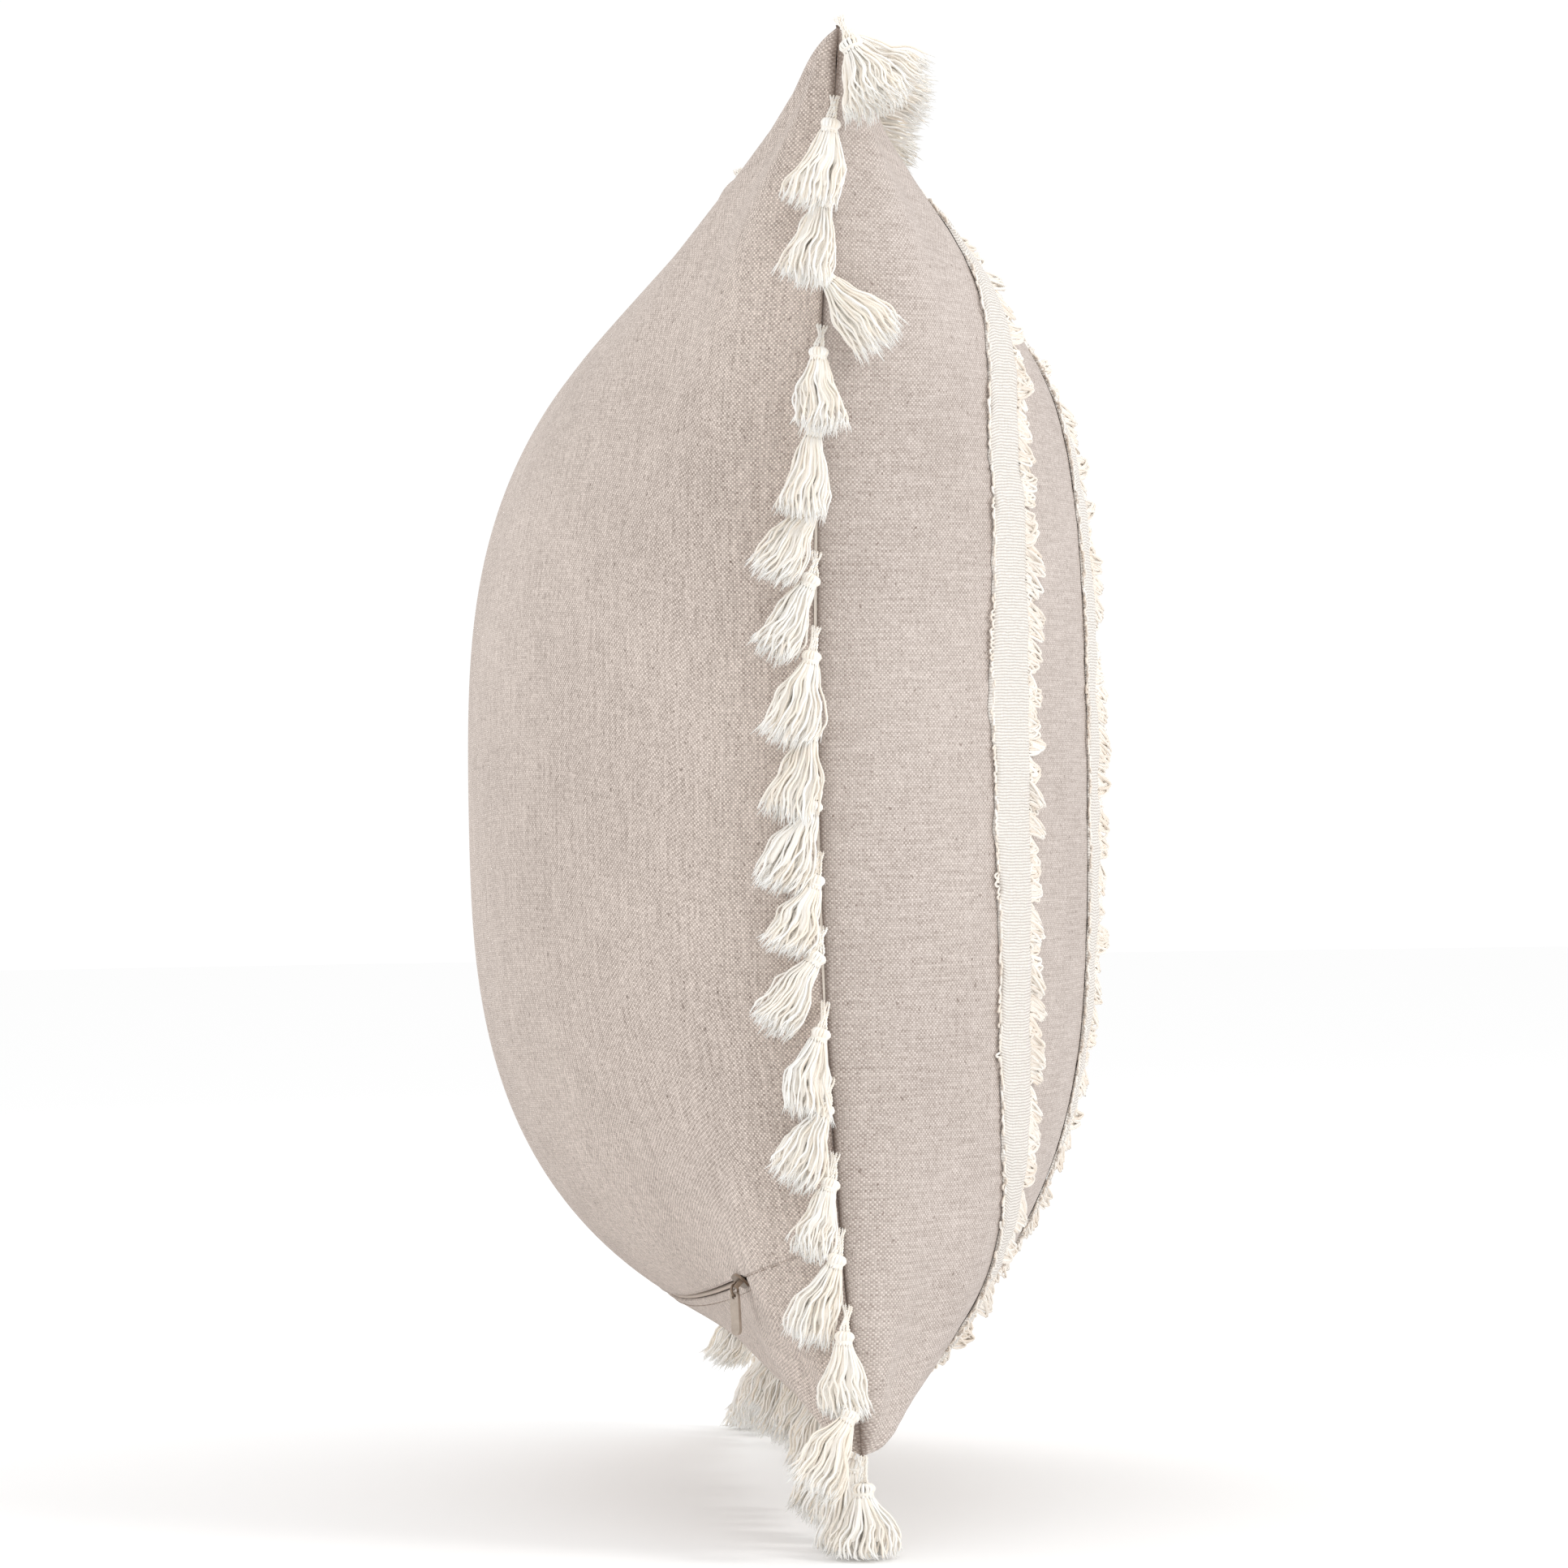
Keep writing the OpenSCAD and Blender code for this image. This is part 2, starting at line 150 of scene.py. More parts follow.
ZIP_LOW = -0.909
ZIP_RISE = 0.2
ZIP_RISE_POWER = 3.3
ZIP_TILT = math.radians(48)
ZIP_END_DEPTH = 35.5 * MM
ZIP_END_HEIGHT = -182 * MM
ZIP_HALF = 207 * MM
ZIP_SAG = 25 * MM
ZIP_FADE = 19 * MM
ZIP_REACH_UP = 0.35
ZIP_SHUT = 206 * MM
STITCHED_TO = 220 * MM
STITCH_PITCH = 2.4 * MM
STITCH_LENGTH = 1.6 * MM
THREAD = 0.16 * MM
HEM_WIDTH = 2.7 * MM
SHUT_LIP = 0.02 * MM
UPPER_LIP = 0.9 * MM
LOWER_LIP = 2.3 * MM
LIP_FADE = 4 * MM
ACROSS = np.array([1.0, 0, 0])
OUTWARD = np.array([0, math.cos(ZIP_TILT), -math.sin(ZIP_TILT)])
UPWARD = np.array([0, math.sin(ZIP_TILT), math.cos(ZIP_TILT)])
ZIP_MIDDLE = MIDDLE + np.array([0, ZIP_END_DEPTH, ZIP_END_HEIGHT]) + ZIP_SAG * OUTWARD
ARC_RADIUS = (ZIP_HALF ** 2 + ZIP_SAG ** 2) / (2 * ZIP_SAG)


def ease(share):
    share = np.clip(share, 0, 1)
    return share * share * (3 - 2 * share)


def crown(across, up, settle, blunt):
    settled = up + settle * (1 - up * up)
    body = (1 - np.abs(across) ** ACROSS_POWER) * (1 - np.abs(settled) ** UP_POWER)
    return np.clip(body, 0, None) ** blunt


def seam_plane(across, up):
    across, up = np.broadcast_arrays(np.asarray(across, float), np.asarray(up, float))
    rise = np.where(up < 0, BOTTOM_PULL, TOP_PULL)
    x = HALF * across * (1 - SIDE_PULL * (1 - up * up))
    y = MIDDLE[1] + SEAM_BOW * (1 - up * up) * across * across
    slope = TOP_SLOPE * np.clip(up, 0, None) ** 2 * (1 + across) / 2
    z = MIDDLE[2] + HALF * (up * (1 - rise * (1 - across * across)) - slope)
    return np.stack([x, y, z], -1)


def front_form(across, up):
    point = seam_plane(across, up)
    blunt = FRONT_BLUNT + TOP_SHARPNESS * ease((up - SHARP_FROM) / (1 - SHARP_FROM))
    point[..., 1] -= FRONT_DEPTH * crown(across, up, 0, blunt)
    return point


def back_form(across, up):
    point = seam_plane(across, up)
    point[..., 1] += BACK_DEPTH * crown(across, up, BACK_SETTLE, BACK_BLUNT)
    return point


def zip_line(across):
    return ZIP_LOW + ZIP_RISE * np.abs(across) ** ZIP_RISE_POWER


def arc_point(x):
    side = np.minimum(np.abs(x), ZIP_HALF + ZIP_FADE)
    drop = np.sqrt(ARC_RADIUS ** 2 - side * side) - ARC_RADIUS
    return ZIP_MIDDLE + x[..., None] * ACROSS + drop[..., None] * OUTWARD


def zip_hold(across):
    x = np.abs(back_form(across, zip_line(across))[..., 0])
    return ease(1 - (x - ZIP_HALF) / ZIP_FADE)


def lips_apart(x):
    """How far the lips of the zip stand apart: they close just past the slider."""
    return ease(1 - (np.abs(x) - ZIP_SHUT + LIP_FADE) / LIP_FADE)


def near_zip(across, up):
    line = zip_line(across)
    above = (up - line) / (1 - line)
    below = (up + 1) / (line + 1)
    return np.where(up >= line, ease(1 - above / ZIP_REACH_UP), ease(below))


def back_point(across, up, lip=0.0):
    across, up = np.broadcast_arrays(np.asarray(across, float), np.asarray(up, float))
    base = back_form(across, zip_line(across))
    pull = zip_hold(across)[..., None] * (arc_point(base[..., 0]) - base)
    pull = pull + np.asarray(lip)[..., None] * UPWARD
    return back_form(across, up) + near_zip(across, up)[..., None] * pull


# ---- Mesh helpers ----

def new_piece(name, points, faces, cloth=None, tint=None):
    points = np.ascontiguousarray(points, dtype=np.float32).reshape(-1, 3)
    faces = np.ascontiguousarray(faces, dtype=np.int32)
    count, corners = faces.shape
    mesh = bpy.data.meshes.new(name)
    mesh.vertices.add(len(points))
    mesh.vertices.foreach_set("co", points.ravel())
    mesh.loops.add(count * corners)
    mesh.loops.foreach_set("vertex_index", faces.ravel())
    mesh.polygons.add(count)
    mesh.polygons.foreach_set("loop_start", np.arange(count, dtype=np.int32) * corners)
    mesh.update(calc_edges=True)
    if cloth is not None:
        layer = mesh.uv_layers.new(name="cloth")
        flat = np.asarray(cloth, dtype=np.float32).reshape(-1, 2)[faces.ravel()]
        layer.data.foreach_set("uv", flat.ravel())
    # For the cloth panels the tint holds each point's distance to the nearest sewn edge, which the linen
    # turns into painted shade along the seam; for strands it is each strand's own tone.
    if tint is not None:
        shade = mesh.attributes.new("tint", "FLOAT", "POINT")
        shade.data.foreach_set("value", np.asarray(tint, dtype=np.float32).ravel())
    mesh.shade_smooth()
    piece = add_object(name, mesh)
    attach(piece, "cover")
    return piece


def grid_faces(rows, columns, flip=False):
    j, i = np.meshgrid(np.arange(rows - 1), np.arange(columns - 1), indexing="ij")
    a = (j * columns + i).ravel()
    quad = np.stack([a, a + 1, a + columns + 1, a + columns], -1)
    return quad[:, ::-1] if flip else quad


def unit(v):
    return v / np.maximum(np.linalg.norm(v, axis=-1, keepdims=True), 1e-12)


def lengths(points, axis):
    """Distance run along each line of points, from its start."""
    steps = np.linalg.norm(np.diff(points, axis=axis), axis=-1)
    return np.insert(np.cumsum(steps, axis), 0, 0, axis=axis)


def run_frames(paths):
    """Two directions square to each path, carried along it without twisting."""
    along = unit(np.gradient(paths, axis=1))
    helper = np.where(np.abs(along[:, :1, 2:]) < 0.9, [0.0, 0, 1], [1.0, 0, 0])
    normal = unit(np.cross(along[:, 0], helper[:, 0]))
    normals = [normal]
    for step in range(1, paths.shape[1]):
        way = along[:, step]
        normal = unit(normal - (normal * way).sum(-1, keepdims=True) * way)
        normals.append(normal)
    normals = np.stack(normals, 1)
    return normals, np.cross(along, normals)


def tubes(paths, radius, sides):
    """Tubes with narrowed ends: vertices and quads for paths shaped strands, points, 3."""
    strands, points = paths.shape[:2]
    radius = np.broadcast_to(radius, (strands, points)).copy()
    radius[:, 0] *= 0.25
    radius[:, -1] *= 0.25
    normal, other = run_frames(paths)
    angle = np.arange(sides) * 2 * math.pi / sides
    ring = normal[:, :, None] * np.cos(angle)[:, None] + other[:, :, None] * np.sin(angle)[:, None]
    places = paths[:, :, None] + ring * radius[:, :, None, None]
    s, p, k = np.meshgrid(np.arange(strands), np.arange(points - 1), np.arange(sides), indexing="ij")
    base = (s * points + p) * sides
    after = (k + 1) % sides
    quads = np.stack([base + k, base + after, base + sides + after, base + sides + k], -1)
    return places.reshape(-1, 3), quads.reshape(-1, 4)


def plied(paths, ply, pitch):
    """Each path as two plies twisted round each other."""
    normal, other = run_frames(paths)
    start = rng.uniform(0, 2 * math.pi, (len(paths), 1))
    made = []
    for opposite in (0, math.pi):
        turn = (lengths(paths, 1) / pitch * 2 * math.pi + start + opposite)[..., None]
        made.append(paths + ply * (normal * np.cos(turn) + other * np.sin(turn)))
    return np.concatenate(made)


class Bundle:
    """Collects tubes that become one piece, each strand with a tint of its own unless one is given."""

    def __init__(self):
        self.points, self.faces, self.tints, self.count = [], [], [], 0

    def add(self, paths, radius, sides=4, tint=None):
        points, faces = tubes(paths, radius, sides)
        tints = rng.uniform(0, 1, len(paths)) if tint is None else np.full(len(paths), tint)
        self.points.append(points)
        self.faces.append(faces + self.count)
        self.tints.append(np.repeat(tints, paths.shape[1] * sides))
        self.count += len(points)

    def piece(self, name):
        points, faces = np.concatenate(self.points), np.concatenate(self.faces)
        return new_piece(name, points, faces, tint=np.concatenate(self.tints))


# ---- Cloth grids: places on the form, with the flat cloth's own coordinates ----

def spread(cells):
    return np.sin(np.pi / 2 * np.linspace(-1, 1, cells + 1))


def flat_cloth(points, middle_row, middle_column):
    """Distances along the cloth from its middle, along both ways of a grid of points."""
    across, up = lengths(points, 1), lengths(points, 0)
    across -= across[:, middle_column:middle_column + 1]
    up -= up[middle_row:middle_row + 1]
    return np.stack([across, up], -1)


CLOTH_CELLS = 222


class Side:
    """One face of the cover as a fine grid, with shares of the flat cloth for every point."""

    def __init__(self, form):
        self.shares = spread(CLOTH_CELLS)
        self.points = form(*np.meshgrid(self.shares, self.shares))
        middle = CLOTH_CELLS // 2
        self.cloth = flat_cloth(self.points, middle, middle)
        u, v = self.cloth[..., 0], self.cloth[..., 1]
        self.u_share = u / np.abs(u[:, -1:])
        self.v_share = v / np.abs(v[-1:])
        low = v < 0
        self.v_share[low] = (v / np.abs(v[:1]))[low]

    def at_flat(self, cells):
        """Across and up for an even grid laid on the flat cloth."""
        even = np.linspace(-1, 1, cells + 1)
        f, g = np.meshgrid(even, even)
        up = g.copy()
        across = f.copy()
        for _ in range(4):
            rows = np.clip(np.searchsorted(self.shares, up), 0, CLOTH_CELLS)
            for j, i in np.ndindex(f.shape):
                across[j, i] = np.interp(f[j, i], self.u_share[rows[j, i]], self.shares)
            columns = np.clip(np.searchsorted(self.shares, across), 0, CLOTH_CELLS)
            for j, i in np.ndindex(f.shape):
                up[j, i] = np.interp(g[j, i], self.v_share[:, columns[j, i]], self.shares)
        return across, up


# ---- Cloth simulation: the bag is cut flat, filled and left to wrinkle ----

SIM_CELLS = 84
SIM_FRAMES = 20
WRINKLE_CAP = 5.5 * MM
FINE_CELLS = 5
RIM_CELLS = 4
PINNED_FROM = 0.35
SHEET_GAP = 1 * MM


def blur(field, radius):
    """A field smoothed by three running means along both of its ways."""
    for _ in range(3):
        for axis in (0, 1):
            pad = [(0, 0)] * field.ndim
            pad[axis] = (radius, radius)
            wide = np.pad(field, pad, mode="edge")
            total = sum(np.take(wide, range(s, s + field.shape[axis]), axis=axis)
                        for s in range(2 * radius + 1))
            field = total / (2 * radius + 1)
    return field


class Bag:
    """Front and back of the cover as one closed cloth, on an even grid of the flat cloth."""

    def __init__(self, front_side, back_side):
        n = SIM_CELLS + 1
        across, up = front_side.at_flat(SIM_CELLS)
        front = front_form(across, up)
        self.rim = np.zeros((n, n), bool)
        self.rim[[0, -1]] = True
        self.rim[:, [0, -1]] = True
        front[self.rim] = seam_plane(across, up)[self.rim]
        self.front = np.arange(n * n).reshape(n, n)
        self.back = self.front.copy()
        self.back[~self.rim] = n * n + np.arange((~self.rim).sum())
        across, up = back_side.at_flat(SIM_CELLS)
        self.points = self.both(front, back_point(across, up))
        self.held = near_zip(across, up) * zip_hold(across)

    def both(self, front, back):
        return np.concatenate([front.reshape(-1, 3), back[~self.rim]])

    def faces(self):
        quads = grid_faces(*self.front.shape)
        return np.concatenate([self.front.ravel()[quads], self.back.ravel()[quads[:, ::-1]]])

    def cut_flat(self):
        """The two sheets as they are cut, one just behind the other."""
        even = np.linspace(-COVER_HALF, COVER_HALF, SIM_CELLS + 1)
        x, z = np.meshgrid(even, even)
        return self.both(*(np.stack([x, np.full_like(x, y), z], -1) for y in (-SHEET_GAP, SHEET_GAP)))

    def pinned(self):
        """Points held by the zip, and the four corners."""
        held = self.back[(self.held > PINNED_FROM) & ~self.rim]
        return held.tolist() + self.front[[0, 0, -1, -1], [0, -1, 0, -1]].tolist()


def filled(bag):
    """Places of the bag's points once it is filled with air and has wrinkled."""
    mesh = bpy.data.meshes.new("bag")
    mesh.from_pydata(bag.points.tolist(), [], bag.faces().tolist())
    sheet = add_object("bag", mesh)
    sheet.shape_key_add(name="Basis")
    cut = sheet.shape_key_add(name="cut")
    cut.data.foreach_set("co", bag.cut_flat().astype(np.float32).ravel())
    cut.value = 0
    sheet.vertex_groups.new(name="pins").add(bag.pinned(), 1.0, "REPLACE")
    cloth = sheet.modifiers.new("cloth", "CLOTH")
    setup = cloth.settings
    setup.quality = 6
    setup.mass = 0.25
    setup.tension_stiffness = setup.compression_stiffness = 25
    setup.shear_stiffness = 8
    setup.bending_stiffness = 0.12
    setup.tension_damping = setup.compression_damping = 12
    setup.use_pressure = True
    setup.uniform_pressure_force = 3.2
    setup.effector_weights.gravity = 0
    setup.rest_shape_key = cut
    setup.vertex_group_mass = "pins"
    cloth.point_cache.frame_start = 1
    cloth.point_cache.frame_end = SIM_FRAMES
    scene = bpy.context.scene
    for step in range(1, SIM_FRAMES + 1):
        scene.frame_set(step)
    evaluated = sheet.evaluated_get(bpy.context.evaluated_depsgraph_get())
    moved = np.empty(len(bag.points) * 3, np.float32)
    evaluated.data.vertices.foreach_get("co", moved)
    bpy.data.objects.remove(sheet)
    scene.frame_set(1)
    return moved.reshape(-1, 3)


def simulate(front_side, back_side):
    """Wrinkles of the front and the back, as moves on an even grid of the flat cloth."""
    bag = Bag(front_side, back_side)
    shift = filled(bag) - bag.points
    front, back = shift[bag.front], shift[bag.back]
    row, column = np.indices(bag.rim.shape)
    cells_in = np.minimum.reduce([row, column, SIM_CELLS - row, SIM_CELLS - column])
    inside = ease(cells_in / RIM_CELLS)[..., None]
    seam_move = front - (blur(front, FINE_CELLS) + blur(back, FINE_CELLS)) / 2
    free = 1 - ease(bag.held * 1.6)[..., None]
    fields = []
    for move, share in ((front, 1), (back, free)):
        fine = (move - blur(move, FINE_CELLS)) * inside + seam_move * (1 - inside)
        size = np.linalg.norm(fine, axis=-1, keepdims=True)
        fields.append(fine * WRINKLE_CAP * np.tanh(size / WRINKLE_CAP) / np.maximum(size, 1e-9) * share)
    return fields


def blend_four(field, i, j, a, b):
    """Blend of the four points of a field round each place."""
    low = field[j, i] * (1 - a) + field[j, i + 1] * a
    high = field[j + 1, i] * (1 - a) + field[j + 1, i + 1] * a
    return low * (1 - b) + high * b


def sample(field, f, g):
    """Smooth reading of a field on the even grid at shares f and g, from -1 to 1."""
    n = field.shape[0] - 1
    x = np.clip((f + 1) / 2 * n, 0, n - 1e-6)
    y = np.clip((g + 1) / 2 * n, 0, n - 1e-6)
    i, j = x.astype(int), y.astype(int)
    a, b = ease(x - i)[..., None], ease(y - j)[..., None]
    a, b = (a + (x - i)[..., None]) / 2, (b + (y - j)[..., None]) / 2
    return blend_four(field, i, j, a, b)


# ---- Cover panels ----

CREASE = 2.2 * MM
CREASE_WIDTH = 6 * MM
FOLD_HEIGHT = 1.7 * MM
FOLD_REACH = 55 * MM
FAN_FOLDS = 11
GATHER_HEIGHT = 0.55 * MM
GATHER_PITCH = 3.9 * MM
GATHER_REACH = 16 * MM
TIP_BULK = 4.5 * MM
TIP_REACH = 9 * MM
WRINKLE_GAIN = 1.8
CLOTH_THICK = 0.9 * MM
UPPER_ROWS = 200
LOWER_ROWS = 46
CLEAR_OF_ZIP = 30 * MM
FAR = 1.0
# The lip's fold over the zip: how far back from its crest and how far in each row lies, in millimetres.
LIP_FOLD = ((0.3, 0.0), (0.0, 0.06), (0.0, 0.6), (0.35, 1.3), (1.2, 2.0), (3.0, 2.3))


def edge_gaps(cloth, low_open=False, high_open=False):
    """Distances along the cloth to its nearer sewn edges, one of each pair; an open edge counts as far."""
    u, v = cloth[..., 0], cloth[..., 1]
    low = v[0] - (FAR if low_open else 0)
    high = v[-1] + (FAR if high_open else 0)
    return np.minimum(u - u[:, :1], u[:, -1:] - u), np.minimum(v - low, high - v)


def crease(points, side_gap, level_gap):
    """Draws the cloth in towards the middle beside the seam."""
    gap = np.minimum(side_gap, level_gap)
    depth = CREASE * np.clip(1 - gap / CREASE_WIDTH, 0, 1) ** 2
    inward = MIDDLE - points
    inward[..., 1] = 0
    return points + unit(inward) * depth[..., None]


def puckers(cloth, side_gap, level_gap):
    """Folds that fan out from the corners, gathers along the seam and the bulk in each corner."""
    u, v = cloth[..., 0], cloth[..., 1]
    away = np.hypot(side_gap, level_gap)
    turn = np.arctan2(level_gap, side_gap)
    own = 1.7 * np.sign(u) + 0.9 * np.sign(v)
    fan = np.cos(FAN_FOLDS * turn + own + 0.9 * np.sin(away / (31 * MM)))
    fold = FOLD_HEIGHT * fan * away / FOLD_REACH * np.exp(1 - away / FOLD_REACH)
    gathers = 0
    for near, run in ((side_gap, v), (level_gap, u)):
        wave = np.cos(run / GATHER_PITCH + 2.2 * np.sin(run / (17 * MM)) + own)
        slow = 0.6 + 0.4 * np.sin(run / (43 * MM) + own)
        gathers = gathers + wave * slow * np.exp(-near / GATHER_REACH) * (1 - np.exp(-near / (3 * MM)))
    bulk = away / TIP_REACH * np.exp(1 - away / TIP_REACH)
    inside = 1 - np.exp(-np.minimum(side_gap, level_gap) / (4 * MM))
    return (fold + TIP_BULK * bulk) * inside + GATHER_HEIGHT * gathers


def cloth_panel(name, node, points, cloth, tint, flip):
    rows, columns = points.shape[:2]
    piece = new_piece(name, points, grid_faces(rows, columns, flip), cloth=cloth, tint=tint)
    thick = piece.modifiers.new("thickness", "SOLIDIFY")
    thick.thickness = CLOTH_THICK
    thick.offset = -1
    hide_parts(node)
    return piece


class FrontSurface:
    """Reads places and outward directions on the finished front."""

    def __init__(self, shares, moves):
        self.shares, self.moves = shares, moves

    def place(self, across, up):
        last = len(self.shares) - 1
        i = np.interp(across, self.shares, np.arange(last + 1.0))
        j = np.interp(up, self.shares, np.arange(last + 1.0))
        i0, j0 = np.clip(i.astype(int), 0, last - 1), np.clip(j.astype(int), 0, last - 1)
        move = blend_four(self.moves, i0, j0, (i - i0)[..., None], (j - j0)[..., None])
        return front_form(across, up) + move

    def outward(self, across, up):
        step = 0.004
        right = self.place(across + step, up) - self.place(across - step, up)
        rise = self.place(across, np.clip(up + step, -1, 1)) - self.place(across, np.clip(up - step, -1, 1))
        return unit(np.cross(right, rise))


def wrinkled(points, field, u_share, v_share):
    return points + WRINKLE_GAIN * sample(field, u_share, v_share)


def build_front(side, field):
    gaps = edge_gaps(side.cloth)
    points = wrinkled(side.points, field, side.u_share, side.v_share)
    points[..., 1] -= puckers(side.cloth, *gaps)
    points = crease(points, *gaps)
    piece = cloth_panel("front_cloth", "front_panel", points, side.cloth, np.minimum(*gaps), False)
    return piece, FrontSurface(side.shares, points - side.points)


def panel_shares(cloth, side, run, upper):
    """Shares of the whole flat back for a panel's points, exact along its outer edge."""
    u, v = cloth[..., 0], cloth[..., 1]
    ends = side.cloth[..., 1]
    f = u / np.abs(u[:, -1:])
    g = np.where(v < 0, v / np.abs(ends[0]), v / ends[-1])
    if upper:
        g = np.where(run > 0.6, np.clip(g, -1, 1), g)
        g += (1 - g[-1]) * run ** 4
    else:
        g += (-1 - g[0]) * (1 - run) ** 4
    return f, g


def lip_rows(hem, inner, hold):
    """Rows that fold the lip in over the zip, from its hidden edge to its crest."""
    into = unit(MIDDLE - hem)
    back_way = unit(inner - hem)
    folds = [hem]
    for turn, deep in LIP_FOLD:
        size = (0.25 + 0.75 * hold)[:, None] if deep < 1 else 1.0
        folds.append(hem + back_way * turn * MM * size + into * deep * MM)
    return np.stack(folds[:1:-1] + folds[:2])


def build_back(side, field, upper):
    """The panel above or below the zip, with the stitches beside its hem if it is the lower one."""
    name = "upper" if upper else "lower"
    rows, hem, inner = (UPPER_ROWS, 0, 1) if upper else (LOWER_ROWS, -1, -2)
    line = zip_line(side.shares)
    hold = lips_apart(back_form(side.shares, line)[..., 0])
    run = np.linspace(0, 1, rows + 1)[:, None]
    if upper:
        up = line + (1 - line) * np.sin(np.pi / 2 * run)
        lip = SHUT_LIP + hold * UPPER_LIP
    else:
        up = line - (1 + line) * np.cos(np.pi / 2 * run)
        lip = -SHUT_LIP - hold * LOWER_LIP
    across = np.broadcast_to(side.shares, up.shape)
    points = back_point(across, up, np.broadcast_to(lip, up.shape))
    middle = CLOTH_CELLS // 2
    cloth = flat_cloth(points, 0 if upper else rows, middle)
    cloth[..., 1] += np.interp(line, side.shares, side.cloth[:, middle, 1])
    points = wrinkled(points, field, *panel_shares(cloth, side, run, upper))
    gaps = edge_gaps(cloth, low_open=upper, high_open=not upper)
    from_zip = np.abs(cloth[..., 1] - cloth[hem, :, 1])
    points[..., 1] += puckers(cloth, *gaps) * ease(from_zip / CLEAR_OF_ZIP)
    points = crease(points, *gaps)
    stitches = None if upper else hem_stitches(points)
    lip = lip_rows(points[hem], points[inner], hold)
    gap = np.minimum(*gaps)
    body = points[1:] if upper else points[:-1]
    joins = [(body, lip)] + [(rows, np.repeat(rows[hem][None], len(LIP_FOLD), 0)) for rows in (cloth, gap)]
    points, cloth, gap = (np.concatenate([edge, rows] if upper else [rows, edge[::-1]])
                          for rows, edge in joins)
    return cloth_panel(f"back_{name}_cloth", f"back_{name}_panel", points, cloth, gap, True), stitches


def build_cover():
    front_side = Side(front_form)
    back_side = Side(back_point)
    fields = [np.zeros((SIM_CELLS + 1, SIM_CELLS + 1, 3))] * 2
    fields = simulate(front_side, back_side)
    front, surface = build_front(front_side, fields[0])
    upper, _ = build_back(back_side, fields[1], True)
    lower, stitches = build_back(back_side, fields[1], False)
    return [front, upper, lower], surface, stitches


def hem_stitches(points):
    """Thread beside the lower lip of the zip, and on the closed seam past each end of it."""
    hem = points[-1]
    deep = lengths(points[::-1], 0)
    beside = np.stack([[np.interp(HEM_WIDTH, deep[:, i], points[::-1, i, k]) for k in range(3)]
                       for i in range(len(hem))])
    bundle = Bundle()
    runs = ((beside, -ZIP_SHUT, ZIP_SHUT), (hem, ZIP_SHUT, STITCHED_TO), (hem, -STITCHED_TO, -ZIP_SHUT))
    for line, low, high in runs:
        starts = np.arange(low, high, STITCH_PITCH)
        t = np.linspace(0, 1, 5)
        x = starts[:, None] + t * STITCH_LENGTH
        path = np.stack([np.interp(x, line[:, 0], line[:, k]) for k in range(3)], -1)
        rise = THREAD * np.sin(np.pi * t) - 0.02 * MM
        bundle.add(path + rise[:, None] * OUTWARD, THREAD)
    piece = bundle.piece("zip_stitches")
    return piece


# ---- Woven bands ----

BANDS = 5
BAND_WIDTH = 20 * MM
BAND_PITCH = 87 * MM
BAND_ROWS = 420
BAND_PROFILE = np.array([-1.0, -0.985, -0.93, -0.8, -0.55, -0.2, 0.2, 0.55, 0.8, 0.93, 0.985, 1.0])
BAND_HEIGHT = np.array([0.2, 0.9, 1.35, 1.5, 1.35, 1.4, 1.4, 1.35, 1.5, 1.35, 0.9, 0.2]) * MM
LOOP_YARN = 0.45 * MM
TUFT_YARN = 0.5 * MM
TUFT_PITCH = 5.8 * MM
TUFT_STRANDS = 9


def laid(flat, up):
    """Share across the form at which a share across the flat cloth lies, which changes with height."""
    drawn_in = 1 - 0.08 * ease((np.abs(up) - 0.45) / 0.55)
    return flat * drawn_in * (1 + 0.246 * (1 - up * up) ** 0.6 * (1 - 0.6 * flat * flat))


def uneven(along, step, waves=1):
    """Smooth random waves, from -1 to 1, along an edge."""
    knots = np.arange(along[0], along[-1] + 2 * step, step)
    values = rng.uniform(-1, 1, (waves, len(knots)))
    return np.stack([np.interp(along, knots, row) for row in values])


def build_bands(surface):
    made = []
    up = 0.9985 * np.sin(np.pi / 2 * np.linspace(-1, 1, BAND_ROWS + 1))
    ups = np.repeat(up[:, None], len(BAND_PROFILE), 1)
    for number in range(BANDS):
        centre = (number - (BANDS - 1) / 2) * BAND_PITCH
        middle = surface.place(laid(np.full(len(up), centre) / COVER_HALF, up), up)
        along = lengths(middle, 0)
        edges = uneven(along, 16 * MM, 2) * 1.5 * MM + uneven(along, 4 * MM, 2) * 0.8 * MM
        half = (BAND_PROFILE > 0).astype(int)
        flat = centre + BAND_PROFILE * BAND_WIDTH / 2 + edges[half].T * BAND_PROFILE ** 4
        across = laid(flat / COVER_HALF, ups)
        puff = 1.1 + 0.4 * uneven(along, 7 * MM, 2)[half].T
        points = surface.place(across, ups) + surface.outward(across, ups) * (BAND_HEIGHT * puff)[..., None]
        cloth = flat_cloth(points, BAND_ROWS // 2, len(BAND_PROFILE) // 2)
        tape = new_piece(f"band_{number + 1}_tape", points, grid_faces(*ups.shape), cloth=cloth)
        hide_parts(f"trim_band_{number + 1}")
        made.append(tape)
        made.append(band_loops(surface, number, centre, up, along))
    return made


